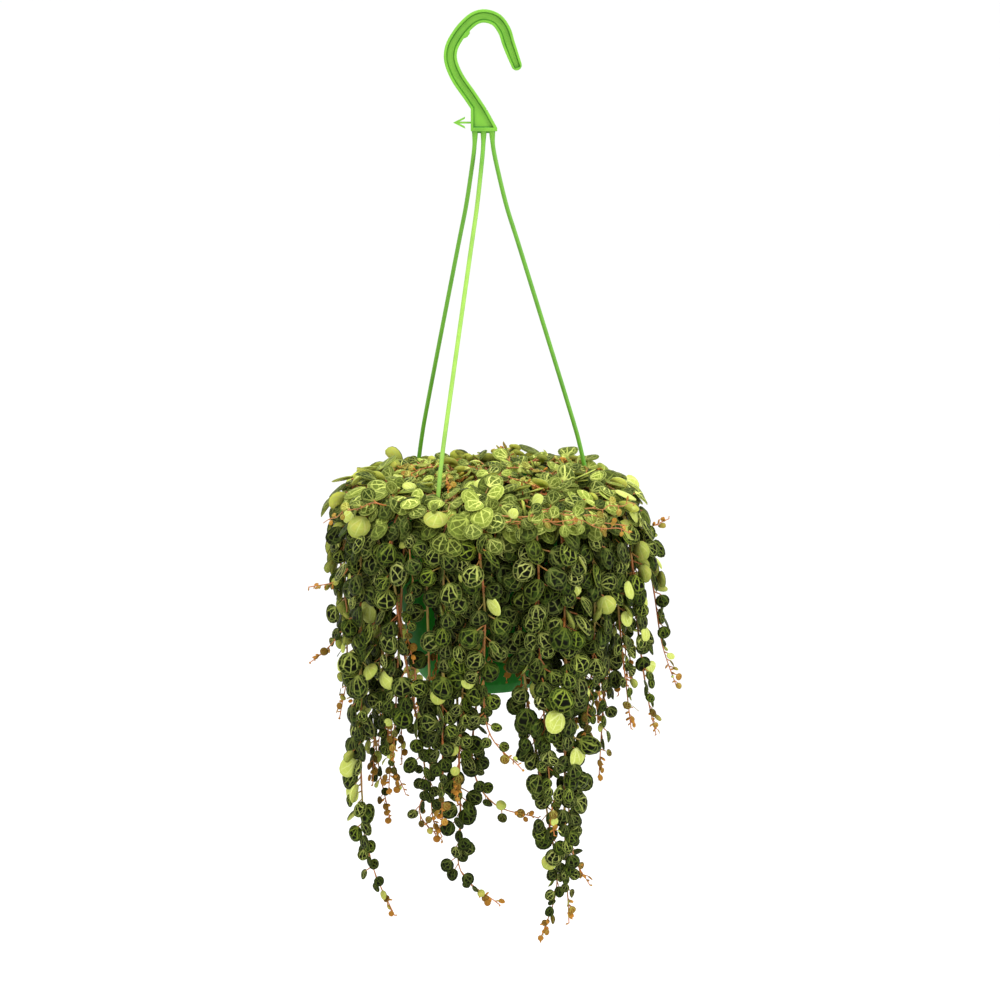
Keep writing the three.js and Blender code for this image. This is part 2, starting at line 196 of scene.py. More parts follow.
def finishPiece(name, bm, materials, nodes, smoothAngle=None):
    bmesh.ops.scale(bm, vec=(0.001,) * 3, verts=bm.verts)
    mesh = meshFrom(name, bm)
    for material in materials:
        mesh.materials.append(material)
    mesh.shade_smooth()
    if smoothAngle:
        mesh.set_sharp_from_angle(angle=smoothAngle * degrees)
    piece = addObject(name, mesh)
    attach(piece, "root")
    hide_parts(*nodes)


def around(radius, angle, z=0.0):
    return np.array([radius * math.cos(angle), radius * math.sin(angle), z])


def unit(vector):
    length = math.sqrt(vector @ vector)
    return vector / length if length else vector


# The nearest direction to this one that is square to the axis
def squareTo(vector, axis):
    return unit(vector - axis * (vector @ axis))


def smoothCurve(points, perSpan):
    points = np.array(points, float)
    ends = np.vstack([2 * points[0] - points[1], points, 2 * points[-1] - points[-2]])
    steps = np.arange(perSpan)[:, None] / perSpan
    spans = []
    for before, first, second, after in zip(ends, ends[1:], ends[2:], ends[3:]):
        leaving, arriving = (second - before) / 2, (after - first) / 2
        spans.append(
            first + leaving * steps + (3 * (second - first) - 2 * leaving - arriving) * steps**2
            + (2 * (first - second) + leaving + arriving) * steps**3
        )
    return np.vstack([*spans, points[-1]])


def lengthsAlong(path):
    return np.concatenate([[0], np.cumsum(np.linalg.norm(np.diff(path, axis=0), axis=1))])


def pointsAt(path, travelled):
    lengths = lengthsAlong(path)
    return np.array([np.interp(travelled, lengths, path[:, axis]) for axis in range(path.shape[1])]).T


def tubes(paths, sides):
    data = bpy.data.curves.new("tubes", "CURVE")
    data.dimensions = "3D"
    data.bevel_depth = 1
    data.bevel_resolution = sides // 2 - 2
    data.use_fill_caps = True
    for points, radii in paths:
        spline = data.splines.new("POLY")
        spline.points.add(len(points) - 1)
        spline.points.foreach_set("co", np.column_stack([points, np.ones(len(points))]).ravel())
        spline.points.foreach_set("radius", np.array(radii, float))
    holder = bpy.data.objects.new("tubes", data)
    mesh = bpy.data.meshes.new_from_object(holder)
    bpy.data.objects.remove(holder)
    bpy.data.curves.remove(data)
    return mesh


# Hanger: hook with an I-shaped section, gusset, tongue and three strands, one moulding

hanger = {
    "depth": 6, "web": 2, "wallWidth": 0.85, "hookWidth": 8.5, "flange": 1.6, "edgeRadius": 0.35,
    "centreLine": (
        (-0.6, -58.6), (-8, -47.6), (-16, -36), (-20.3, -25.4), (-20, -17), (-16.2, -9.4), (-10.8, -2.6),
        (-4.4, 2.6), (2.4, 3.9), (9.6, 1.2), (14.6, -5.6), (17.2, -13.6), (20.8, -23.4), (22.5, -27.8),
    ),
    "hookSteps": 61, "webRows": (1.5, 62), "tipTaper": 0.2, "tipLength": 0.8,
    "tipRounding": (0.3, 0.55, 0.77, 0.92, 0.99),
    "gusset": ((-7.4, -54), (-7.4, -70.7), (9.9, -70.7), (9.9, -68.8), (3.4, -57)),
    "seatStop": (
        (-6.4, -2.4), (-8, -4.6), (-7.9, -7.4), (-9.6, -9.6), (-12.6, -11), (-13.8, -10.8), (-11.2, -7.4),
        (-8.5, -4), (-6.6, -2.2),
    ),
    "gussetWeb": ((-7.2, -53.5), (-5.8, -55.6), (-5.8, -68.4), (7.85, -68.4), (1.9, -57.6), (-1.2, -52.9)),
    # A thin plate under the gusset in the painted-shade material: painted shadow between the strand tops
    "shadowBar": ((-6.6, -70.2), (-6.6, -72), (8.4, -72), (8.4, -70.2)),
    "tongue": (
        (-5.5, -64.6), (-15, -64.6), (-11.4, -62.8), (-11, -61.3), (-18.9, -65.2), (-11, -69.1),
        (-11.4, -67.6), (-15, -65.8), (-5.5, -65.8),
    ),
    "strandRadius": 1.45, "strandTopShare": 1.42, "strandTops": (-4.6, 1, 6.5),
    # How far down each strand is, and how far out from its top to its hole, as shares
    "strandCourse": (
        (0, 0), (0.05, 0.012), (0.12, 0.065), (0.22, 0.157), (0.34, 0.297), (0.78, 0.8), (0.9, 0.925), (1, 1),
    ),
    "strandEnd": 4.4, "collarHeights": (0.3, 1.5), "collarRadii": (3, 3),
    "clipHeights": (-5.1, -1.7), "clipRadii": (1, 2.6),
    # The strand at the front is painted a lighter green, as if lit; the strands behind stay darker, as if
    # shaded
    "hookColour": (0.14, 0.36, 0.03), "strandColour": (0.1, 0.28, 0.02), "litNearColour": (0.25, 0.45, 0.06),
    "litNearDepths": (-0.002, -0.012), "hookHeights": (-0.1, -0.065),
    # The plastic, and a copy of it with painted shade for the groove walls and the plate under the bar, with
    # the least shade on each
    "plastics": (("hangerPlastic", 0), ("hangerGrooveShade", 0.7)),
    "shadeColour": (0.015, 0.12, 0.006), "shadePatches": (60, 2, 0.4, 0.8), "shadeRange": 0.3,
    "roughness": 0.38, "shine": 0.25, "grain": (900, 1, 0.08, 0.0002),
    "glow": 0.1, "glowReach": (0.002, 0.004, 0.001),
}


def thicken(bm, depth):
    bmesh.ops.translate(bm, vec=(0, -depth / 2, 0), verts=bm.verts)
    far = bmesh.ops.extrude_face_region(bm, geom=list(bm.faces), use_keep_orig=True)["geom"]
    bmesh.ops.translate(bm, vec=(0, depth, 0), verts=[v for v in far if isinstance(v, bmesh.types.BMVert)])
    bmesh.ops.recalc_face_normals(bm, faces=bm.faces)


# Faces pushed in together, with walls around them that take the second material, which paints shade on them
def sink(bm, faces, depth, alone=False):
    walls = bmesh.ops.inset_region(
        bm, faces=faces, thickness=hanger["wallWidth"], depth=depth, use_even_offset=True, use_boundary=alone,
    )["faces"]
    for wall in walls:
        wall.material_index = 1


def hookShape():
    line = smoothCurve(hanger["centreLine"], 30)
    steps = np.linspace(0, 1, hanger["hookSteps"])
    places = pointsAt(line, steps * lengthsAlong(line)[-1])
    heading = np.gradient(places, axis=0)
    heading /= np.linalg.norm(heading, axis=1)[:, None]
    sides = np.column_stack([-heading[:, 1], heading[:, 0]])
    taper = hanger["tipTaper"]
    sides *= (1 - taper * np.clip((steps - 1 + taper) / taper, 0, 1) ** 2)[:, None]
    half = hanger["hookWidth"] / 2
    rows = list(zip(places, sides))
    for out in hanger["tipRounding"]:
        ahead = heading[-1] * half * hanger["tipLength"] * out
        rows.append((places[-1] + ahead, sides[-1] * math.sqrt(1 - out**2)))
    columns = (-half, hanger["flange"] - half, half - hanger["flange"], half)
    last = len(rows) - 1
    bm = bmesh.new()
    bmesh.ops.create_grid(bm, x_segments=last, y_segments=3, size=1)
    mark = bm.faces.layers.int.new("web")
    start, end = hanger["webRows"]
    for face in bm.faces:
        centre = face.calc_center_median()
        face[mark] = abs(centre.y) < 0.2 and start < (centre.x + 1) / 2 * last < end
    for vert in bm.verts:
        place, side = rows[round((vert.co.x + 1) / 2 * last)]
        x, z = place + side * columns[round((vert.co.y + 1) / 2 * 3)]
        vert.co = (x, 0, z)
    thicken(bm, hanger["depth"])
    for side in (-1, 1):
        web = [face for face in bm.faces if face.normal.y * side > 0.9 and face[mark]]
        sink(bm, web, (hanger["web"] - hanger["depth"]) / 2)
    return bm


def plateShape(outline, depth):
    bm = bmesh.new()
    bm.faces.new([bm.verts.new((x, 0, z)) for x, z in outline])
    thicken(bm, depth)
    return bm


# What is taken out of one broad face of the gusset, down to the web: of two like faces, the first
# is sunk and the other closes it
def pocketShape(side):
    top, floor = hanger["depth"] / 2 + 0.2, hanger["web"] / 2
    bm = bmesh.new()
    for _ in range(2):
        bm.faces.new([bm.verts.new((x, side * top, z)) for x, z in hanger["gussetWeb"]])
    bm.normal_update()
    bm.faces.ensure_lookup_table()
    mouth = bm.faces[0]
    sink(bm, [mouth], -(top - floor) * side * mouth.normal.y, alone=True)
    bmesh.ops.remove_doubles(bm, verts=bm.verts, dist=0.001)
    bmesh.ops.recalc_face_normals(bm, faces=bm.faces)
    return bm


def strandPath(top, angle):
    lug = around(holeRing, angle * degrees)
    start, end = barBottom + 1, rimTop + 3
    joints = [
        (top + (lug[0] - top) * out, lug[1] * out, start + (end - start) * down)
        for down, out in hanger["strandCourse"]
    ]
    joints.append((lug[0], lug[1], rimTop - hanger["strandEnd"]))
    return np.array(joints)


def makeHangerMaterial(name, leastShade):
    material, tree, shader = newMaterial(name, hanger["roughness"], hanger["shine"])
    place = objectPlace(tree)
    _, behind, height = apart(place, "ShaderNodeSeparateXYZ")
    # Painted light: the strand toward the front is lighter, those behind darker
    strand = blend(ramp(behind, *hanger["litNearDepths"]), hanger["strandColour"], hanger["litNearColour"])
    green = blend(ramp(height, *hanger["hookHeights"]), strand, hanger["hookColour"])
    # Darker patches at random; on the second material they are at least 0.7 dark all over, which is painted
    # shade
    shade = patches(place, *hanger["shadePatches"], leastShade, leastShade + hanger["shadeRange"])
    plug(shader, "Base Color", blend(shade, green, hanger["shadeColour"]))
    plug(shader, "Subsurface Weight", hanger["glow"])
    plug(shader, "Subsurface Radius", hanger["glowReach"])
    addGrain(shader, place, *hanger["grain"])
    return material


def bmeshOf(mesh):
    bm = bmesh.new()
    bm.from_mesh(mesh)
    return bm


# An object with room for two materials, to be joined or cut
def solidObject(name, bm):
    mesh = meshFrom(name, bm)
    for _ in range(2):
        mesh.materials.append(None)
    return addObject(name, mesh)


# The first solid with the others joined to it or cut from it, and its edges rounded before that
def combine(solid, others, operation, edgeRadius=0.0):
    if edgeRadius:
        bevel = solid.modifiers.new("edges", "BEVEL")
        bevel.width = edgeRadius
        bevel.segments = 2
        bevel.limit_method = "ANGLE"
        bevel.angle_limit = 35 * degrees
    for other in others:
        modifier = solid.modifiers.new(operation, "BOOLEAN")
        modifier.operation = operation
        modifier.solver = "EXACT"
        modifier.use_self = True
        modifier.object = other
    mesh = bpy.data.meshes.new_from_object(solid.evaluated_get(bpy.context.evaluated_depsgraph_get()))
    for item in (solid, *others):
        bpy.data.objects.remove(item)
    return bmeshOf(mesh)


def addCone(bm, ring, angle, low, high, radii, sides):
    x, y, _ = around(ring, angle * degrees)
    bmesh.ops.create_cone(
        bm, cap_ends=True, segments=sides, radius1=radii[0], radius2=radii[1], depth=high - low,
        matrix=Matrix.Translation((x, y, (low + high) / 2)),
    )


def strandShape(top, angle):
    path = smoothCurve(strandPath(top, angle), 6)
    topSpan = (barBottom - 8, barBottom - 0.5)
    wide = np.interp(path[:, 2], topSpan, (1.0, hanger["strandTopShare"]))
    bm = bmeshOf(tubes([(path, wide * hanger["strandRadius"])], 12))
    for part in ("collar", "clip"):
        low, high = hanger[part + "Heights"]
        addCone(bm, holeRing, angle, rimTop + low, rimTop + high, hanger[part + "Radii"], sides=20)
    return bm


def makeHanger():
    pockets = [solidObject("pocket", pocketShape(side)) for side in (-1, 1)]
    gusset, seatStop, tongue = (
        solidObject(part, plateShape(hanger[part], hanger[depth]))
        for part, depth in (("gusset", "depth"), ("seatStop", "depth"), ("tongue", "web"))
    )
    whole = combine(solidObject("hook", hookShape()), [gusset, seatStop], "UNION")
    sunk = combine(solidObject("moulding", whole), pockets, "DIFFERENCE")
    # The plate under the bar takes the second material all over: painted shadow between the strand tops
    bar = plateShape(hanger["shadowBar"], hanger["web"] * 1.2)
    for face in bar.faces:
        face.material_index = 1
    moulding = combine(solidObject("moulding", sunk), [tongue, solidObject("shadowBar", bar)], "UNION")
    strands = [
        solidObject("strand", strandShape(*ends)) for ends in zip(hanger["strandTops"], strandAngles)
    ]
    bm = combine(solidObject("moulding", moulding), strands, "UNION", hanger["edgeRadius"])
    plastics = [makeHangerMaterial(*look) for look in hanger["plastics"]]
    finishPiece("hookHanger", bm, plastics, ["hanger"], 40)


makeHanger()
print("hanger made")


# Pot: rolled rim, three holes for the strands, four drain holes

pot = {
    "steps": 104, "wall": 1.2, "edgeRadius": 0.5,
    "footRadius": 36, "footWidth": 6, "footDraft": 0.6, "baseRecess": 2.8,
    "waistRadius": 53.2, "waistHeight": 47, "mouthRadius": 66.8,
    # Radius and height over the foot of what rounds the wall into the base, outside and inside
    "outerTurn": ((42.5, 7.5), (48.6, 22)), "innerTurn": ((40.8, 8), (47.4, 23)),
    "rimThickness": 1.4, "skirtDrop": 4.5, "rimHole": 2.1,
    "drainHole": 3, "drainRing": 20, "drainAngles": (45, 135, 225, 315),
    "colour": (0.004, 0.09, 0.005), "litColour": (0.008, 0.17, 0.006), "litPatches": (9, 2, 0.4, 0.7),
    "scuffColour": (0.02, 0.2, 0.02), "scuffs": (160, 4, 0.62, 0.75, 0, 0.35),
    "roughness": 0.5, "mattPatches": (70, 3, 0.3, 0.8, 0.44, 0.64), "shine": 0.04,
    "grain": (500, 2, 0.1, 0.0002),
}


def innerWall(offset):
    low = (pot["footRadius"] + 1.5, pot["baseRecess"] + pot["wall"])
    high = (pot["waistRadius"] - pot["wall"], pot["waistHeight"])
    return [(radius - offset, height + offset) for radius, height in (low, *pot["innerTurn"], high)]


def turned(profile, steps):
    bm = bmesh.new()
    verts = [bm.verts.new((radius, 0, potFoot + height)) for radius, height in profile]
    edges = [bm.edges.new(pair) for pair in zip(verts, verts[1:])]
    bmesh.ops.spin(
        bm, geom=verts + edges, cent=(0, 0, 0), axis=(0, 0, 1), angle=fullTurn, steps=steps, use_merge=True,
    )
    bmesh.ops.remove_doubles(bm, verts=bm.verts, dist=0.001)
    bmesh.ops.recalc_face_normals(bm, faces=bm.faces)
    return bm


def drill(ring, angle, middle, radius, depth):
    bm = bmesh.new()
    addCone(bm, ring, angle, middle - depth / 2, middle + depth / 2, (radius, radius), sides=24)
    return solidObject("drill", bm)


def roundedProfile(corners, radius):
    rounded = []
    for before, corner, after in zip(corners, corners[1:], corners[2:]):
        corner, ends = Vector(corner), (Vector(before), Vector(after))
        reach = [min(radius, (end - corner).length * 0.45) for end in ends]
        first, second = (corner + (end - corner).normalized() * part for end, part in zip(ends, reach))
        rounded += [first, (first + corner * 2 + second) / 4, second]
    return [corners[0], *rounded, corners[-1]]


def makePotMaterial():
    material, tree, shader = newMaterial("potPlastic", pot["roughness"], pot["shine"])
    place = objectPlace(tree)
    colour = blend(patches(place, *pot["litPatches"]), pot["colour"], pot["litColour"])
    colour = blend(patches(place, *pot["scuffs"]), colour, pot["scuffColour"])
    plug(shader, "Base Color", colour)
    plug(shader, "Roughness", patches(place, *pot["mattPatches"]))
    addGrain(shader, place, *pot["grain"])
    return material


def makePot():
    height = rimTop - potFoot
    flangeUnder, skirtUnder = height - pot["rimThickness"], height - pot["skirtDrop"]
    skirtInner, footInner = rimRadius - pot["rimThickness"], pot["footRadius"] - pot["footWidth"]
    profile = [
        (0, pot["baseRecess"]), (footInner - pot["footDraft"], pot["baseRecess"]), (footInner, 0),
        (pot["footRadius"], 0), *pot["outerTurn"], (pot["waistRadius"], pot["waistHeight"]),
        (pot["mouthRadius"], flangeUnder), (skirtInner, flangeUnder), (skirtInner, skirtUnder),
        (rimRadius, skirtUnder), (rimRadius, height), (pot["mouthRadius"] - pot["wall"], height),
        *innerWall(0)[::-1], (0, pot["baseRecess"] + pot["wall"]),
    ]
    shell = turned(roundedProfile(profile, pot["edgeRadius"]), pot["steps"])
    drills = [drill(holeRing, angle, rimTop, pot["rimHole"], depth=6) for angle in strandAngles]
    drills += [
        drill(pot["drainRing"], angle, potFoot + 3, pot["drainHole"], depth=12)
        for angle in pot["drainAngles"]
    ]
    bm = combine(solidObject("shell", shell), drills, "DIFFERENCE")
    finishPiece("hangingPot", bm, [makePotMaterial()], ["pot"], 35)


makePot()
print("pot made")


# Seeded draws from 0 to 1, the same on every run

seeds = {
    "soil": 31, "backStem": 500, "shortStem": 900, "innerStem": 3000, "innerBackStem": 3500,
    "firstLeaf": 0, "coverLeaf": 20000, "stemStep": 101, "vine": 7000, "crestShoot": 12000,
}


class Draws:
    def __init__(self, number):
        self.state = 12345 + number * 7919
        self.take()
        self.take()

    def take(self):
        self.state = self.state * 48271 % 2147483647
        return self.state / 2147483647

    def between(self, low, high):
        return low + (high - low) * self.take()


# Soil, with an uneven top and crumbs

soil = {
    "steps": 72, "gap": 0.36, "topRadius": 62.6, "edgeDrop": 1.6, "unevenness": 1.3,
    "crumbs": 260, "crumbSizes": (0.7, 2.4), "crumbReach": 61,
    "peatColour": (0.018, 0.011, 0.006), "dryColour": (0.07, 0.042, 0.022), "dryPatches": (220, 5, 0.4, 0.65),
    "gritColour": (0.32, 0.29, 0.24), "grit": (420, 1, 0.7, 0.74),
    "roughness": 0.95, "grain": (380, 6, 0.8, 0.0012),
}


def makeSoilMaterial():
    material, tree, shader = newMaterial("pottingSoil", soil["roughness"])
    place = objectPlace(tree)
    colour = blend(patches(place, *soil["dryPatches"]), soil["peatColour"], soil["dryColour"])
    plug(shader, "Base Color", blend(patches(place, *soil["grit"]), colour, soil["gritColour"]))
    addGrain(shader, place, *soil["grain"])
    return material


def makeSoil():
    top = soilTop - potFoot
    profile = [
        (0, pot["baseRecess"] + pot["wall"] + 0.3), *innerWall(soil["gap"]),
        (soil["topRadius"], top - soil["edgeDrop"]),
        *((radius, top) for radius in (*np.linspace(60, 3, 20), 0)),
    ]
    bm = turned(profile, soil["steps"])
    for vert in bm.verts:
        if vert.co.z > soilTop - 1:
            vert.co.z += (noise.noise(vert.co * 0.16) + 0.5 * noise.noise(vert.co * 0.5)) * soil["unevenness"]
    draws = Draws(seeds["soil"])
    for _ in range(soil["crumbs"]):
        radius = soil["crumbReach"] * math.sqrt(draws.take())
        x, y, _ = around(radius, draws.between(0, fullTurn))
        size = draws.between(*soil["crumbSizes"])
        turn = Matrix.Rotation(draws.between(0, 6), 4, Vector((1, draws.take(), draws.take())))
        stretch = Matrix.Diagonal((1, draws.between(0.6, 1), draws.between(0.5, 0.9), 1))
        place = Matrix.Translation((x, y, soilTop + size * 0.3))
        bmesh.ops.create_icosphere(bm, subdivisions=1, radius=size, matrix=place @ turn @ stretch)
    finishPiece("pottingSoil", bm, [makeSoilMaterial()], ["soil"])


makeSoil()
print("soil made")


# Courses of the stems, in millimetres. The front ones from left to right: where each hangs from
# (x, and reach from the pot's axis), and the x and drop below the rim of the points it falls through

frontStems = (
    (-82, 88, ((-84, 38), (-95, 55), (-115, 60))),
    (-89, 91, ((-94, 50), (-90, 84), (-102, 103), (-115, 114))),
    (-80, 87, ((-81, 90), (-86, 143))),
    (-78, 105, ((-79, 110), (-79, 190), (-73, 238), (-58, 275))),
    (-72, 88, ((-71, 100), (-70, 165), (-61, 215))),
    (-67, 100, ((-64, 100), (-60, 160), (-50, 191))),
    (-58, 104, ((-52, 80), (-37, 172), (-41, 200), (-26, 219))),
    (-50, 96, ((-54, 90), (-58, 166))),
    (-46, 105, ((-44, 50), (-48, 76), (-44, 98))),
    (-35, 94, ((-34, 110), (-33, 195), (-26, 216))),
    (-24, 104, ((-25, 100), (-26, 204))),
    (-18, 93, ((-16, 120), (-14, 200), (-14, 238), (12, 262))),
    (-10, 103, ((-12, 100), (-16, 188))),
    (-1, 110, ((2, 60), (3, 134), (26, 165))),
    (8, 94, ((-2, 110), (-6, 165), (8, 192), (37, 202))),
    (22, 94, ((28, 110), (42, 195), (49, 246), (38, 286))),
    (36, 104, ((38, 100), (47, 212))),
    (52, 104, ((54, 110), (54, 205), (57, 274))),
    (60, 92, ((61, 110), (57, 195), (60, 232), (71, 254))),
    (71, 104, ((73, 80), (66, 164))),
    (77, 94, ((80, 110), (77, 186))),
    (86, 104, ((90, 80), (98, 150))),
    (90, 96, ((93, 70), (96, 126))),
    (96, 107, ((103, 90), (109, 130), (115, 157))),
    (103, 107, ((112, 55), (119, 98), (129, 128))),
    (96, 97, ((110, 23), (124, 17))),
)
stemRule = {
    "runners": (0, 1, 6, 8, 13, 14, 25), "young": 65, "runnerYoung": 170, "rootRadii": (26, 50, 38),
    "backCount": 18, "backReaches": (91, 100, 87, 96), "backLean": 6, "backDrops": (120, 80, 165, 100, 195),
    "shortCount": 10, "goldenAngle": 137.5, "crestRadius": 78, "crestHeight": 4.5, "passing": 6,
    "rootDepth": 9, "rootTop": 3, "crownLength": 80, "crownStep": 16.5, "fallStep": 29,
    "innerBackCount": 14, "innerReach": 83, "innerRoot": 44, "innerSink": 2,
    "innerDrops": (112, 150, 96, 132, 168), "centreCount": 8, "centreRoot": 28,
}
# Shorter stems behind the front ones, close to the pot: x, reach and drop
innerStems = (
    (-83, 84, 128), (-79, 84, 150), (-70, 83, 168), (-63, 92, 190), (-57, 84, 172), (-27, 84, 112),
    (-19, 83, 104), (-11, 84, 98), (-3, 83, 108), (6, 84, 102), (15, 83, 112), (24, 84, 122),
    (33, 83, 132), (43, 84, 146), (52, 83, 158), (62, 84, 150), (70, 92, 166), (77, 84, 150),
    (81, 83, 128), (83.5, 84, 140), (-74, 91, 188), (87, 99, 130), (98, 104, 114),
)
# Stems that cross the middle of the crown and hide the soil: radius, degrees on from the root, and
# height over the rim
centreStem = ((22, 0, 3), (12, 20, 9), (6, 70, 12), (11, 140, 11), (24, 165, 7))
# Two more that raise the right of the crown: x, y and height over the rim
moundStems = (
    ((30, -10, -10), (38, -12, 6), (52, -14, 13), (68, -18, 13), (82, -24, 6)),
    ((20, 20, -10), (36, 28, 8), (54, 32, 13), (72, 27, 11), (86, 20, 3)),
)


def wrap(angle):
    return math.atan2(math.sin(angle), math.cos(angle))


def besideStrands(angle, hangAngle):
    passing = stemRule["passing"] * degrees
    for strand in strandAngles:
        side = math.copysign(1, wrap(hangAngle - strand * degrees))
        offset = wrap(angle - strand * degrees)
        if abs(offset) < passing:
            return angle - offset + side * passing
    return angle


def rootAt(radius, angle):
    return around(radius, angle, soilTop + stemRule["rootTop"])


# From the root up to the crest, and down past the rim
def overRim(rootRadius, rootAngle, reach, angle):
    crestRadius = stemRule["crestRadius"]
    crest = stemRule["crestHeight"] + (reach - 90) * 0.12

    def partWay(part):
        return besideStrands(rootAngle + (angle - rootAngle) * part, angle)

    return [
        rootAt(rootRadius, rootAngle),
        around(rootRadius + (crestRadius - rootRadius) * 0.4, partWay(0.4), rimTop + crest * 0.8),
        around(crestRadius, partWay(0.8), rimTop + crest),
        around(crestRadius + (reach - crestRadius) * 0.62, partWay(0.95), rimTop + crest - 6),
        around(reach, angle, rimTop - 24),
    ]


def frontCourse(index):
    x, reach, fall = frontStems[index]
    rootAngle = -math.pi * (1 - (index + 0.5) / len(frontStems))
    controls = overRim(stemRule["rootRadii"][index % 3], rootAngle, reach, -math.acos(x / reach))
    hangY = controls[-1][1]
    for i, (across, drop) in enumerate(fall):
        controls.append((across, hangY * (1 - 0.02 * (i + 1)), rimTop - drop))
    return controls


def backCourse(index):
    draws = Draws(seeds["backStem"] + index)
    rootAngle = math.pi * (index + 0.5) / stemRule["backCount"]
    angle = rootAngle + draws.between(-1.5, 1.5) * degrees
    lean = stemRule["backLean"] * math.cos(angle)
    reach = stemRule["backReaches"][index % 4] + lean + draws.between(-1, 1)
    drop = stemRule["backDrops"][index % 5] + draws.between(-12, 12)
    controls = overRim(stemRule["rootRadii"][(index + 2) % 3], rootAngle, reach, angle)
    drift = draws.between(-7, 7) * degrees
    curl = draws.between(-4, 8)
    for share, inward, turn in ((0.45, -1, 0.2), (0.8, -2, 0.6), (1, curl - 2, 1)):
        controls.append(around(reach + inward, angle + drift * turn, rimTop - drop * share))
    return controls


def shortCourse(index):
    draws = Draws(seeds["shortStem"] + index)
    angle = (24 + index * stemRule["goldenAngle"]) * degrees
    radius = 6.2 * math.sqrt(index + 0.6)
    height = rimTop + 12 + 2.5 * (index % 3)
    bend = draws.between(34, 42) * degrees
    rise = ((4, 0, rimTop + 2), (14, 0.3, height), (32, 0.7, height + 1), (52, 1, height - 4))
    return [rootAt(radius, angle), *(around(radius + out, angle + bend * turn, z) for out, turn, z in rise)]


def innerCourse(angle, reach, drop, draws):
    controls = overRim(stemRule["innerRoot"], angle, reach, angle)
    for control in controls[1:4]:
        control[2] -= stemRule["innerSink"]
    turn = draws.between(-3, 3) * degrees
    for share, inward in ((0.45, 1), (0.8, 2), (1, draws.between(-2, 3))):
        controls.append(around(reach - inward, angle + turn * share, rimTop - drop * share))
    return controls


def centreCourse(index):
    angle = (20 + index * 360 / stemRule["centreCount"]) * degrees
    lift = index % 3
    over = [around(radius, angle + turn * degrees, rimTop + rise + lift) for radius, turn, rise in centreStem]
    return [rootAt(stemRule["centreRoot"], angle) + up * lift, *over]


# The stem's smooth path, and the joints on it where its first leaves grow
def walk(controls):
    path = smoothCurve(controls, 40)
    total = lengthsAlong(path)[-1]
    travelled = [0]
    following = stemRule["crownStep"]
    while following < total - stemRule["fallStep"] * 0.6:
        travelled.append(following)
        following += stemRule["crownStep"] if following < stemRule["crownLength"] else stemRule["fallStep"]
    travelled.append(total)
    root = np.array([*path[0][:2], soilTop - stemRule["rootDepth"]])
    return {
        "path": np.vstack([root, path]), "joints": np.vstack([root, pointsAt(path, travelled)]),
        "left": [total, *(total - part for part in travelled)],
    }


def stem(kind, index, course, node=None, slotName="trailing_leaves", young=stemRule["young"]):
    number = f"{index + 1:02d}"
    return {
        **walk(course), "name": kind + number, "nodes": [f"{node}_{number}"] if node else [],
        "slot": slotName, "young": young, "leaves": [],
    }


vines = []
for i in range(len(frontStems)):
    young = stemRule["runnerYoung" if i in stemRule["runners"] else "young"]
    vines.append(stem("frontVine", i, frontCourse(i), "front_stem", young=young))
vines += [stem("backVine", i, backCourse(i), "back_stem") for i in range(stemRule["backCount"])]
vines += [
    stem("shortVine", i, shortCourse(i), "short_stem", "crown_leaves") for i in range(stemRule["shortCount"])
]
innerCourses = [
    innerCourse(-math.acos(x / reach), reach, drop, Draws(seeds["innerStem"] + i))
    for i, (x, reach, drop) in enumerate(innerStems)
]
for i in range(stemRule["innerBackCount"]):
    draws = Draws(seeds["innerBackStem"] + i)
    angle = (i + 0.5) / stemRule["innerBackCount"] * math.pi
    drop = stemRule["innerDrops"][i % 5] + draws.between(-8, 8)
    innerCourses.append(innerCourse(angle, stemRule["innerReach"] + draws.between(0, 4), drop, draws))
crownCourses = [centreCourse(i) for i in range(stemRule["centreCount"])]
crownCourses += [[(x, y, rimTop + rise) for x, y, rise in points] for points in moundStems]
addedVines = [stem("innerVine", i, course) for i, course in enumerate(innerCourses)]
addedVines += [
    stem("centreVine", i, course, slotName="crown_leaves") for i, course in enumerate(crownCourses)
]


# Places of the leaves. Each is kept clear of the others, the stems, the strands and the pot. The
# ones that follow between the first leaves may overlap a little

leafRule = {
    "outline": ((0, 0), (0.3, -0.2), (0.62, -0.43), (0.94, -0.24), (0.94, 0.24), (0.62, 0.43), (0.3, 0.2)),
    "domeCentre": 0.6, "domeHeight": 0.14, "rootSink": 0.5, "rootShare": 0.25,
    "length": 16.5, "sizes": (0.85, 1.1), "stemRadius": 1.2, "gap": 0.35, "tries": 14,
    "coverStep": 5.2, "coverCrownStep": 4.2, "runnerStepShare": 1.4, "coverStart": 12, "coverEnd": 4,
    "coverTries": 18, "coverShrink": 0.025, "overlap": 0.9, "coverStemRadius": 0.9,
    "coverSizes": (0.84, 1.24), "tapered": 110, "turned": 0.03, "edgeOn": 0.3, "sideEdgeOn": 0.5, "spread": 6,
    "turns": (30, 100), "flatRoll": (0, 25), "edgeRoll": (40, 80),
    "onTopDrop": 2, "brink": 74, "lugRoom": 14, "lugHeight": 3,
    "windowAcross": (-57, -25), "windowDrop": (40, 112), "windowTip": 90,
}


def leafAt(root, along, normal, length, owner):
    across = np.cross(normal, along)
    outline = np.array(leafRule["outline"])
    start = np.where(outline[:, 0] == 0, leafRule["rootSink"], 0)
    rim = root + np.outer(outline[:, 0] * length - start, along) + np.outer(outline[:, 1] * length, across)
    dome = root + along * length * leafRule["domeCentre"] + normal * length * leafRule["domeHeight"]
    edges = np.cross(np.roll(rim, -1, axis=0) - rim, normal)
    edges /= np.linalg.norm(edges, axis=1)[:, None]
    return {
        "points": np.vstack([rim, dome]), "axes": np.vstack([normal, across, edges]),
        "centre": root + along * length * 0.5, "radius": 0.56 * length, "owner": owner,
        "root": root, "along": along, "normal": normal, "length": length,
    }


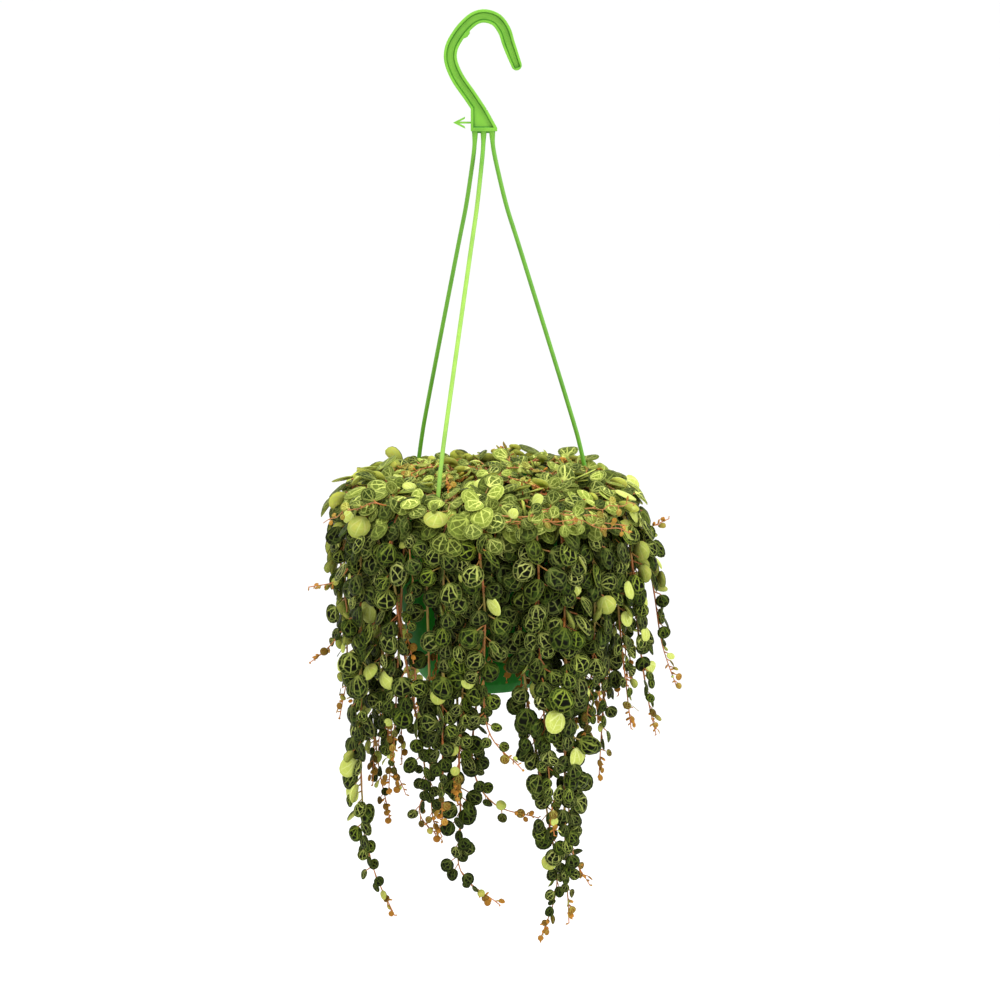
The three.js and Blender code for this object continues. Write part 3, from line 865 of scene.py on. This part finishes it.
# What a new leaf must not touch, kept as one array of each kind of fact
class Neighbours:
    def __init__(self, room, points, axes):
        self.points = np.zeros((room, points, 3))
        self.axes = np.zeros((room, axes, 3))
        self.centres = np.zeros((room, 3))
        self.radii = np.zeros(room)
        self.owners = np.zeros(room, int)
        self.count = 0

    def add(self, shape):
        row = self.count
        self.points[row], self.axes[row], self.centres[row] = shape["points"], shape["axes"], shape["centre"]
        self.radii[row], self.owners[row] = shape["radius"], shape["owner"]
        self.count += 1

    # Two shapes are clear of each other if one of these axes parts them
    def clear(self, leaf, otherGap, ownGap):
        gaps = np.where(self.owners[:self.count] == leaf["owner"], ownGap, otherGap)
        distances = np.linalg.norm(self.centres[:self.count] - leaf["centre"], axis=1)
        near = np.flatnonzero(distances <= self.radii[:self.count] + leaf["radius"] + gaps)
        if not len(near):
            return True
        between = leaf["centre"] - self.centres[near]
        crossed = np.cross(leaf["normal"], self.axes[near, 0])
        for rows in (between, crossed):
            lengths = np.linalg.norm(rows, axis=1)[:, None]
            np.divide(rows, lengths, out=rows, where=lengths > 0)
        own = np.broadcast_to(leaf["axes"], (len(near), *leaf["axes"].shape))
        axes = np.concatenate([own, self.axes[near], between[:, None], crossed[:, None]], axis=1)
        ofLeaf = axes @ leaf["points"].T
        ofOthers = np.einsum("kaj,knj->kan", axes, self.points[near])
        gap = np.maximum(ofLeaf.min(2) - ofOthers.max(2), ofOthers.min(2) - ofLeaf.max(2))
        return bool(np.all((gap > gaps[near, None]).any(axis=1)))


def addRods(points, owner):
    for start, end in zip(points, points[1:]):
        rods.add({
            "points": np.array([start, end]), "axes": unit(end - start)[None], "centre": (start + end) / 2,
            "radius": np.linalg.norm(end - start) / 2, "owner": owner,
        })


def clearOfPot(leaf):
    outward = unit(leaf["centre"] * (1, 1, 0))
    out, height = leaf["points"] @ outward, leaf["points"][:, 2]
    corner = (rimRadius + rimTop) * math.sqrt(0.5) + 0.6
    return (
        (height > rimTop + 0.6).all() or (out > rimRadius + 0.8).all()
        or ((out + height) * math.sqrt(0.5) > corner).all()
    )


# The side that a leaf turns to: away from the pot where its stem hangs, and up where it runs out
def faceAt(radial, tangent):
    return squareTo(radial * max(-tangent[2], 0.25) + up * max(tangent @ radial, 0.35), tangent)


def firstLeaf(here, tangent, left, young, atTip, side, draws, owner):
    face = faceAt(unit(here * (1, 1, 0)), tangent)
    sideways = np.cross(tangent, face) * side
    along = unit(
        sideways * (0.3 if atTip else 1) + tangent * draws.between(0, 0.75) + face * draws.between(0.05, 0.6)
    )
    normal = face + sideways * draws.between(-0.35, 0.35) + tangent * draws.between(-0.45, 0.15)
    grown = 0.32 + 0.68 * min(left / young, 1)
    length = leafRule["length"] * grown * draws.between(*leafRule["sizes"])
    return {**leafAt(here, along, squareTo(normal, along), length, owner), "left": left}


# A leaf between the first ones: tilted outwards and every way on top of the pot, and below it
# hanging close in front of its stem, some of them edge on
def coverLeaf(here, tangent, left, side, draws, owner, shrink):
    radial = unit(here * (1, 1, 0))
    face = faceAt(radial, tangent)
    aside = np.zeros(3)
    if here[2] > rimTop - leafRule["onTopDrop"] and np.linalg.norm(here[:2]) < leafRule["brink"]:
        along = unit(around(1, draws.between(0, fullTurn), draws.between(-0.6, 0.5)))
        normal = up * 0.8 + radial * draws.between(0, 1.7)
        normal = normal + around(draws.between(0.1, 0.9), draws.between(0, fullTurn))
        most = 4 + max(here[0] - 20, 0) * 0.1
    else:
        fall = unit(tangent - up * max(1 + tangent[2], 0))
        face = squareTo(unit(radial * 0.9 + up * 0.35), fall)
        sideways = np.cross(fall, face) * side
        turn = draws.between(*leafRule["turns"]) * degrees
        along = unit(sideways * math.cos(turn) + fall * math.sin(turn) + face * draws.between(-0.1, 0.45))
        edgeOn = leafRule["sideEdgeOn" if abs(radial[0]) > 0.85 else "edgeOn"]
        roll = draws.between(*leafRule["edgeRoll" if draws.take() < edgeOn else "flatRoll"]) * degrees
        normal = face * math.cos(roll) + sideways * math.copysign(math.sin(roll), draws.take() - 0.35)
        normal = normal + fall * draws.between(-0.7, 0.1)
        normal *= -1 if draws.take() < leafRule["turned"] else 1
        aside = sideways * draws.between(-1, 1) * leafRule["spread"] * min(left / 160, 1)
        most = 6
    normal = squareTo(normal, along)
    grown = 0.25 + 0.75 * min(left / leafRule["tapered"], 1)
    length = leafRule["length"] * grown * draws.between(*leafRule["coverSizes"]) * shrink
    lift = draws.between(0.5, most) * grown
    leaf = leafAt(here + face * lift + aside + along * 1.2, along, normal, length, owner)
    return {**leaf, "left": left, "stalk": here}


# The strands push the leaves aside above their ends
def besideLugs(leaf):
    if leaf["centre"][2] <= rimTop + leafRule["lugHeight"]:
        return True
    apartFrom = [(leaf["centre"] - around(holeRing, angle * degrees)) * (1, 1, 0) for angle in strandAngles]
    return all(np.linalg.norm(away) >= leafRule["lugRoom"] for away in apartFrom)


# The pot shows between two of the front stems, left of the middle
def inWindow(leaf):
    across, behind, height = leaf["centre"]
    low, high = leafRule["windowAcross"]
    top, bottom = leafRule["windowDrop"]
    return behind < 0 and low < across < high and top < rimTop - height < bottom


def isFree(leaf, rodGap, leafGap, ownGap):
    return clearOfPot(leaf) and rods.clear(leaf, rodGap, -1e9) and grownLeaves.clear(leaf, leafGap, ownGap)


def keepLeaf(vine, leaf):
    grownLeaves.add(leaf)
    vine["leaves"].append(leaf)


rods = Neighbours(3000, 2, 1)
grownLeaves = Neighbours(9000, 8, 9)
for top, angle in zip(hanger["strandTops"], strandAngles):
    addRods(strandPath(top, angle), -1)
for owner, vine in enumerate(vines):
    addRods(vine["joints"], owner)

for owner, vine in enumerate(vines):
    joints = vine["joints"]
    last = len(joints) - 1
    for i in range(2, last + 1):
        draws = Draws(seeds["firstLeaf"] + owner * seeds["stemStep"] + i)
        here = joints[i] + (joints[i - 1] - joints[i]) * leafRule["rootShare"]
        tangent = unit(joints[min(i + 1, last)] - joints[i - 1])
        for k in range(leafRule["tries"]):
            side = 1 if (i + k) % 2 == 0 else -1
            leaf = firstLeaf(here, tangent, vine["left"][i], vine["young"], i == last, side, draws, owner)
            if isFree(leaf, leafRule["stemRadius"] + leafRule["gap"], leafRule["gap"], 0):
                keepLeaf(vine, leaf)
                break
print("first leaves placed:", grownLeaves.count)

# The added stems join the rest here, because they have no first leaves
for vine in addedVines:
    addRods(vine["joints"], len(vines))
    vines.append(vine)

# More leaves between the first ones, smaller where there is less room
for owner, vine in enumerate(vines):
    path, lengths = vine["path"], lengthsAlong(vine["path"])
    travelled, station = leafRule["coverStart"] + stemRule["rootDepth"], 0
    runner = vine["young"] > stemRule["young"]
    while travelled < lengths[-1] - leafRule["coverEnd"]:
        station += 1
        draws = Draws(seeds["coverLeaf"] + owner * seeds["stemStep"] + station)
        here, before, after = pointsAt(path, [travelled, travelled - 4, travelled + 4])
        left = lengths[-1] - travelled
        for k in range(leafRule["coverTries"]):
            side = 1 if (station + k) % 2 == 0 else -1
            shrink = 1 - leafRule["coverShrink"] * k
            leaf = coverLeaf(here, unit(after - before), left, side, draws, owner, shrink)
            seen = besideLugs(leaf) and (left < leafRule["windowTip"] or not inWindow(leaf))
            if seen and isFree(leaf, leafRule["coverStemRadius"], -leafRule["overlap"], -leafRule["overlap"]):
                keepLeaf(vine, leaf)
                break
        if travelled < stemRule["crownLength"]:
            travelled += leafRule["coverCrownStep"]
        else:
            travelled += leafRule["coverStep"] * (leafRule["runnerStepShare"] if runner else 1)
print("leaves placed:", grownLeaves.count)


# Leaf shapes: a fleshy round blade, drawn once at unit length for each way that it bends

leafShapes = {
    "corners": 14, "radius": 0.43, "centre": 0.56, "edge": 0.03, "narrowing": 0.96,
    "bends": (
        {"cup": -0.05, "fold": 0.0, "droop": 0.0}, {"cup": 0.22, "fold": 0.0, "droop": 0.05},
        {"cup": -0.2, "fold": 0.06, "droop": -0.1}, {"cup": 0.05, "fold": 0.12, "droop": -0.25},
    ),
    "budSize": (1, 0.8, 0.4), "budCentre": 0.6,
}


def bladeMesh(cup, fold, droop):
    bm = bmesh.new()
    layer = bm.loops.layers.uv.new("leaf")
    radius, centre = leafShapes["radius"], leafShapes["centre"]
    bmesh.ops.create_circle(bm, cap_ends=True, segments=leafShapes["corners"], radius=radius)
    raised = bmesh.ops.extrude_face_region(bm, geom=bm.faces[:], use_keep_orig=True)["geom"]
    top = [item for item in raised if isinstance(item, bmesh.types.BMFace)]
    bmesh.ops.translate(bm, vec=(0, 0, leafShapes["edge"]), verts=list(top[0].verts))
    for width in (0.06, 0.17):
        bmesh.ops.inset_region(bm, faces=top, thickness=width, depth=0.045)
    bmesh.ops.poke(bm, faces=top, offset=0.012)
    bmesh.ops.recalc_face_normals(bm, faces=bm.faces)
    for face in bm.faces:
        face.material_index = 1 if face.normal.z < -0.9 else 0
        for loop in face.loops:
            loop[layer].uv = (0.5 + loop.vert.co.x / radius / 2, 0.5 + loop.vert.co.y / radius / 2)
    for vert in bm.verts:
        x, y = vert.co.x / radius, vert.co.y / radius
        point = 1 + 0.07 * max(x, 0) ** 6 - 0.06 * max(-x, 0) ** 8
        vert.co.z += (cup * (x * x + y * y) + fold * abs(y) + droop * max(x, 0) ** 2) * radius
        vert.co.x = centre + x * radius * leafShapes["narrowing"] * point
    return meshFrom("blade", bm)


def budMesh():
    bm = bmesh.new()
    layer = bm.loops.layers.uv.new("leaf")
    bmesh.ops.create_icosphere(bm, subdivisions=1, radius=0.5)
    bmesh.ops.scale(bm, vec=leafShapes["budSize"], verts=bm.verts)
    bmesh.ops.translate(bm, vec=(leafShapes["budCentre"], 0, 0), verts=bm.verts)
    for face in bm.faces:
        for loop in face.loops:
            loop[layer].uv = (loop.vert.co.x * 0.8, 0.5 + loop.vert.co.y)
    return meshFrom("bud", bm)


blades = [bladeMesh(**bend) for bend in leafShapes["bends"]]
bud = budMesh()


# Leaf colours. On top, dark cells between light veins: a midrib, arched veins, cross veins, a ring
# near the margin and short lines from it to the edge. Light from above on the crown and shade among the
# leaves are painted into these colours

leafLook = {
    "cellDark": (0.0035, 0.004, 0.002), "cellLight": (0.011, 0.02, 0.003), "wash": (0.03, 0.052, 0.007),
    "veinLight": (0.18, 0.24, 0.02), "veinPale": (0.4, 0.42, 0.12),
    # Colours of leaves painted as lit from above on the crown, partly also their own greyish colour
    "crownShade": (0.026, 0.042, 0.007), "litCrownCell": (0.22, 0.28, 0.04), "litCrownVein": (0.66, 0.72, 0.18),
    "youngCell": (0.34, 0.14, 0.02), "youngVein": (0.56, 0.38, 0.09),
    "paleCell": (0.38, 0.43, 0.085), "paleVein": (0.52, 0.57, 0.2),
    # How many leaves are pale, at the sides and elsewhere, and the draws that stand for pale ones. The
    # greater share at the sides is painted back light through the leaves
    "pale": 0.02, "sideBacklitPale": 0.1, "sideStart": 82,
    "paleDraws": (0.97, 1), "paleFrom": 0.96, "draws": (0, 0.95),
    # Where leaves are painted as lit from above, by tilt and by height over the rim, and where they are
    # painted shaded, closer in to the pot's axis
    "litTilt": (-0.05, 0.4), "litHeight": (-20, 18), "shadeReach": (106, 20), "shadeDepth": 0.68,
    "under": (0.29, 0.34, 0.06), "underVein": (0.42, 0.46, 0.14), "litCrownUnder": (0.62, 0.66, 0.1),
    "base": 0.85, "spread": 38, "bend": 0.25, "crossStep": 0.54, "ring": 0.74, "marginLines": 13,
    "lines": {"main": (0.1, 1.0), "cross": (0.07, 0.45), "ring": (0.08, 0.45), "margin": (0.06, 0.38)},
    "waver": 0.5, "waverScale": 2.6, "boldLeast": 0.22, "boldRange": 0.85, "litCrownBold": 0.8,
    "mottle": (300, 2, 0.4, 0.7, 0.0, 0.2), "roughness": 0.45, "underRoughness": 0.55, "shine": 0.02,
}


# The leaf's colour attribute: how young it is, a draw of its own, and how much painted light from above it
# has in the crown
def leafTone(tree):
    tone = addNode(tree, "ShaderNodeAttribute", {}, "Color", attribute_name="leafTone")
    return apart(tone, "ShaderNodeSeparateColor")


# Places across the leaf, from -1 to 1
def leafPlace(tree):
    uv = addNode(tree, "ShaderNodeUVMap", {}, uv_map="leaf")
    across, ahead, _ = apart(uv, "ShaderNodeSeparateXYZ")
    return uv, across * 2.0 - 1.0, ahead * 2.0 - 1.0


def highest(value, *others):
    for other in others:
        value = value.maths("MAXIMUM", other)
    return value


def lengthOf(x, y):
    return (x * x + y * y).maths("SQRT")


# How far a value is from half way between two whole numbers
def offHalf(value):
    return (value.maths("FRACT") - 0.5).maths("ABSOLUTE")


def veinLine(kind, distance):
    width, strength = leafLook["lines"][kind]
    return ramp(distance, width * 0.15, width, strength, 0.0)


# How near each kind of vein is: the main ones that fan out from the base and bend to the tip, the
# short ones across, the ring and the lines from it to the margin
def leafVeins(x, y, chance):
    fanStep, marginStep = leafLook["spread"] * degrees, fullTurn / leafLook["marginLines"]
    ahead = x + leafLook["base"]
    reach = lengthOf(ahead, y)
    fan = (y * (ahead * ahead * leafLook["bend"] + 1.0)).maths("ARCTAN2", ahead) / fanStep + 20.0
    main = offHalf(fan + 0.5) * reach * fanStep
    sector = fan.maths("FLOOR") * 0.37 + chance * 3.0
    cross = offHalf(reach / leafLook["crossStep"] + sector) * leafLook["crossStep"]
    radius = lengthOf(x, y)
    ring = (radius - leafLook["ring"]).maths("ABSOLUTE")
    margin = offHalf(y.maths("ARCTAN2", x) / marginStep + 20.5) * radius * marginStep
    inner = highest(veinLine("main", main), veinLine("cross", cross))
    inner = inner * radius.maths("LESS_THAN", leafLook["ring"])
    outer = veinLine("margin", margin) * radius.maths("GREATER_THAN", leafLook["ring"])
    vein = highest(inner, veinLine("ring", ring), outer, ramp(reach, 0.1, 0.34, 1.0, 0.0))
    return vein, main.maths("MINIMUM", cross).maths("MINIMUM", ring)


def makeLeafTopMaterial():
    material, tree, shader = newMaterial("leafTop", leafLook["roughness"], leafLook["shine"])
    young, chance, crown = leafTone(tree)
    lit = addNode(tree, "ShaderNodeAttribute", {}, "Alpha", attribute_name="leafTone")
    uv, flatX, flatY = leafPlace(tree)
    offset = addNode(tree, "ShaderNodeCombineXYZ", {0: chance * 37.0, 1: chance * 91.0})
    shifted = addNode(tree, "ShaderNodeVectorMath", {0: uv, 1: offset})
    waver = speckle(shifted, leafLook["waverScale"], 1, "Color")
    waverX, waverY, patch = apart(waver, "ShaderNodeSeparateColor")
    x = flatX + (waverX - 0.5) * leafLook["waver"]
    y = flatY + (waverY - 0.5) * leafLook["waver"]
    vein, depth = leafVeins(x, y, chance)
    # A light line along the margin: partly the leaf's own pale edge, partly a painted rim highlight
    vein = highest(vein, ramp(lengthOf(flatX, flatY), 0.9, 1.0, 0.0, 0.6))
    other = (chance * 13.0).maths("FRACT")
    bold = other * other * leafLook["boldRange"] + leafLook["boldLeast"]
    # Veins dimmed by painted shade on shaded leaves, and made bold by painted light on the crown
    vein = vein * highest(bold, crown * leafLook["litCrownBold"]) * lit

    cell = blend(ramp(depth, 0.03, 0.14), leafLook["cellLight"], leafLook["cellDark"])
    # A lighter wash in patches, dimmed by painted shade on shaded leaves
    cell = blend(ramp(patch, 0.52, 0.68, 0.0, 0.7) * lit, cell, leafLook["wash"])
    # Leaves painted as lit from above on the crown take paler cells and veins
    cell = blend(crown, cell, blend(ramp(other, 0.0, 0.8), leafLook["crownShade"], leafLook["litCrownCell"]))
    line = blend(crown, blend(chance, leafLook["veinLight"], leafLook["veinPale"]), leafLook["litCrownVein"])
    for share, kind in ((young, "young"), (chance.maths("GREATER_THAN", leafLook["paleFrom"]), "pale")):
        cell = blend(share, cell, leafLook[kind + "Cell"])
        line = blend(share, line, leafLook[kind + "Vein"])
    plug(shader, "Base Color", blend(vein, cell, line))
    relief(shader, vein, 0.25, 0.0003)
    return material


def makeLeafUnderMaterial():
    material, tree, shader = newMaterial("leafUnder", leafLook["underRoughness"], leafLook["shine"])
    young, chance, crown = leafTone(tree)
    _, x, y = leafPlace(tree)
    vein, _ = leafVeins(x, y, chance)
    # Undersides on the crown are painted lighter, as lit from above
    colour = blend(crown, leafLook["under"], leafLook["litCrownUnder"])
    colour = blend(vein * 0.6, colour, leafLook["underVein"])
    colour = blend(patches(objectPlace(tree), *leafLook["mottle"]), colour, leafLook["youngVein"])
    plug(shader, "Base Color", blend(young * 0.7, colour, leafLook["youngCell"]))
    return material


stemLook = {
    "radius": 0.85, "tipRadius": 0.35, "thinning": 120, "unevenness": 0.12, "sampleStep": 5,
    "petioleRadius": 0.5, "tipBuds": 5, "budStep": 4, "youngLength": 26, "redTip": 90,
    "redColour": (0.27, 0.085, 0.015), "greenColour": (0.24, 0.18, 0.03), "tipColour": (0.4, 0.13, 0.025),
    "greenPatches": (45, 3, 0.42, 0.62), "roughness": 0.5, "grain": (700, 3, 0.3, 0.0002),
}


def makeStemMaterial():
    material, tree, shader = newMaterial("stemSkin", stemLook["roughness"])
    place = objectPlace(tree)
    colour = blend(patches(place, *stemLook["greenPatches"]), stemLook["redColour"], stemLook["greenColour"])
    plug(shader, "Base Color", blend(leafTone(tree)[0], colour, stemLook["tipColour"]))
    addGrain(shader, place, *stemLook["grain"])
    return material


plantMaterials = [makeLeafTopMaterial(), makeLeafUnderMaterial(), makeStemMaterial()]


def addMesh(bm, mesh, tone, layer, matrix=None, material=None):
    startVert, startFace = len(bm.verts), len(bm.faces)
    bm.from_mesh(mesh)
    bm.verts.ensure_lookup_table()
    bm.faces.ensure_lookup_table()
    verts = bm.verts[startVert:]
    if matrix:
        bmesh.ops.transform(bm, matrix=matrix, verts=verts)
    for vert in verts:
        vert[layer] = tone(vert.co) if callable(tone) else tone
    if material is not None:
        for face in bm.faces[startFace:]:
            face.material_index = material


def placed(along, normal, size, place):
    axes = np.column_stack([along * size, np.cross(normal, along) * size, normal * size, place])
    return Matrix([*axes.tolist(), [0, 0, 0, 1]])


def portion(part, whole):
    return float(np.clip(part / whole, 0, 1))


# How young the leaf is, its draw, its painted light from above in the crown, and its painted shade among the
# leaves around it
def toneOf(leaf, draws):
    place = leaf["centre"]
    (tilt, tiltSpan), (height, heightSpan) = leafLook["litTilt"], leafLook["litHeight"]
    lifted = portion(leaf["normal"][2] - tilt, tiltSpan) * portion(place[2] - rimTop - height, heightSpan)
    reach, reachSpan = leafLook["shadeReach"]
    shaded = portion(reach - np.linalg.norm(place[:2]), reachSpan) * (1 - lifted)
    # More leaves are pale at the sides: painted back light shining through them
    pale = draws.take() < leafLook["sideBacklitPale" if abs(place[0]) > leafLook["sideStart"] else "pale"]
    chance = draws.between(*leafLook["paleDraws" if pale else "draws"])
    young = 1 - portion(leaf["left"], stemLook["youngLength"])
    return young, chance, lifted * draws.between(0.2, 1), 1 - leafLook["shadeDepth"] * shaded


def makeVine(number, vine):
    path = vine["path"]
    total = lengthsAlong(path)[-1]
    travelled = np.linspace(0, total, max(int(total / stemLook["sampleStep"]), 8))
    draws = Draws(seeds["vine"] + number)
    thin = np.clip((total - travelled) / stemLook["thinning"], 0, 1)
    radii = stemLook["tipRadius"] + (stemLook["radius"] - stemLook["tipRadius"]) * thin
    radii *= [1 + stemLook["unevenness"] * draws.between(-1, 1) for _ in radii]
    stalks = []
    bm = bmesh.new()
    layer = bm.verts.layers.float_color.new("leafTone")
    for leaf in vine["leaves"]:
        along, normal, size = leaf["along"], leaf["normal"], leaf["length"]
        if "stalk" in leaf:
            foot, start = leaf["stalk"], leaf["root"]
        else:
            foot = start = path[np.argmin(np.linalg.norm(path - leaf["root"], axis=1))]
            size *= 0.8 + 0.2 * min(leaf["left"] / 100, 1)
            if foot[2] > rimTop - leafRule["onTopDrop"]:
                normal = normal + unit(foot * (1, 1, 0)) * draws.between(0.1, 1.1)
                normal = normal + around(draws.between(0.1, 0.7), draws.between(0, fullTurn))
                normal = squareTo(normal, along)
        tone = toneOf(leaf, draws)
        blade = blades[int(draws.take() * len(blades))]
        addMesh(bm, blade, tone, layer, placed(along, normal, size, start))
        base = start + along * size * 0.18 + normal * size * 0.02
        bowed = (foot + base) / 2 - normal * size * 0.012
        thickness = stemLook["petioleRadius"] * (0.6 + 0.4 * size / leafRule["length"])
        stalks.append(([foot, bowed, base], [thickness * 1.2, thickness, thickness * 0.9]))
    # Small new leaves close together at the tip
    for k in range(stemLook["tipBuds"]):
        ahead = total - k * stemLook["budStep"]
        here, ahead = pointsAt(path, [ahead - 0.5, ahead])
        tangent = unit(ahead - here)
        across = unit(np.cross(tangent, around(1, draws.between(0, fullTurn), draws.between(-1, 1))))
        along = unit(tangent * draws.between(0.3, 1) + across * (-1) ** k)
        normal = squareTo(unit(np.cross(along, np.cross(tangent, across)) + tangent * 0.3), along)
        size = draws.between(1.7, 2.7) + 0.45 * k
        addMesh(bm, bud, (1, draws.take(), 0, 1), layer, placed(along, normal, size, here))
        stalks.append(([here, here + along * size * 0.3], [0.35, 0.3]))
    tip = Vector(path[-1])

    def stemTone(place):
        return 1 - portion((tip - place).length, stemLook["redTip"]), 0.5, 0, 1

    addMesh(bm, tubes([(pointsAt(path, travelled), radii)], 6), stemTone, layer, material=2)
    addMesh(bm, tubes(stalks, 4), stemTone, layer, material=2)
    finishPiece(vine["name"], bm, plantMaterials, vine["nodes"])


for number, vine in enumerate(vines):
    makeVine(number, vine)
print("vines made")


# Young shoots that lie over the front of the crest: the front stem that each branches from, and the
# points it runs through, with their heights over the rim
crestShoots = {
    "radius": 0.6, "tipRadius": 0.3, "stalkRadii": (0.4, 0.35), "winding": 3.2,
    "leafStart": 30, "leafStep": 7.5, "leafLength": 10.5, "tapered": 60, "youngLength": 35,
    "shoots": (
        (13, ((12, -100, 1), (44, -101, 3), (71, -93, -2), (94, -79, -8))),
        (14, ((24, -102, -5), (48, -101, -2), (72, -95, -6), (97, -81, -12))),
        (12, ((4, -101, -7), (22, -105, -3), (40, -103, -2), (60, -99, -5))),
        (15, ((40, -97, 6), (62, -91, 3), (84, -78, 4), (99, -62, 2))),
        (5, ((-62, -82, 5), (-78, -72, 3), (-92, -58, -4), (-103, -47, -12))),
        (8, ((-36, -93, 3), (-20, -98, -4), (-12, -100, -16))),
    ),
}


def shootPath(branch, points, draws):
    path = np.array([(x, y, rimTop + rise) for x, y, rise in points])
    path = smoothCurve(np.vstack([frontCourse(branch)[1:3], path]), 3)
    for point in path:
        point += around(draws.between(0, crestShoots["winding"]), draws.between(0, 6), draws.between(-2, 2))
    return smoothCurve(path, 5)


def makeCrestShoots():
    bm = bmesh.new()
    layer = bm.verts.layers.float_color.new("leafTone")
    stalks = []
    for number, (branch, points) in enumerate(crestShoots["shoots"]):
        draws = Draws(seeds["crestShoot"] + number)
        path = shootPath(branch, points, draws)
        total = lengthsAlong(path)[-1]
        stalks.append((path, np.linspace(crestShoots["radius"], crestShoots["tipRadius"], len(path))))
        for k, travelled in enumerate(np.arange(crestShoots["leafStart"], total, crestShoots["leafStep"])):
            here, ahead = pointsAt(path, [travelled, travelled + 2])
            if travelled + 2 > total:
                ahead = here + path[-1] - path[-2]
            tangent, radial = unit(ahead - here), unit(here * (1, 1, 0))
            across = unit(np.cross(tangent, radial)) * (-1) ** k
            along = unit(across + tangent * draws.between(0, 2) + up * draws.between(-0.6, 0.3))
            normal = squareTo(radial + up + around(draws.between(0, 0.6), draws.between(0, 6)), along)
            left = total - travelled
            grown = 0.3 + 0.7 * portion(left, crestShoots["tapered"])
            size = crestShoots["leafLength"] * grown * draws.between(0.8, 1.2)
            young = 1 - portion(left, crestShoots["youngLength"])
            # The third part is painted light from above, as on the crown's leaves
            tone = (young, draws.take(), draws.between(0.2, 0.8), 1)
            base = here + along
            addMesh(bm, blades[k % len(blades)], tone, layer, placed(along, normal, size, base))
            stalks.append(([here, base + along * size * 0.2], crestShoots["stalkRadii"]))
    addMesh(bm, tubes(stalks, 6), (0.6, 0.5, 0, 1), layer, material=2)
    finishPiece("crestShoots", bm, plantMaterials, [])


makeCrestShoots()
print("crest shoots made")


# Floor, well below the hanging pot

floorSetup = {"height": -1.1, "halfSize": 45, "colour": (0.985, 0.985, 0.98), "roughness": 0.8}
bm = bmesh.new()
bmesh.ops.create_grid(bm, x_segments=8, y_segments=8, size=floorSetup["halfSize"])
bmesh.ops.translate(bm, vec=(0, 0, floorSetup["height"]), verts=bm.verts)
floorMaterial, _, floorShader = newMaterial("floorPaint", floorSetup["roughness"])
plug(floorShader, "Base Color", (*floorSetup["colour"], 1))
floor = addObject("floor", meshFrom("floor", bm))
floor.data.materials.append(floorMaterial)

print("scene ready")
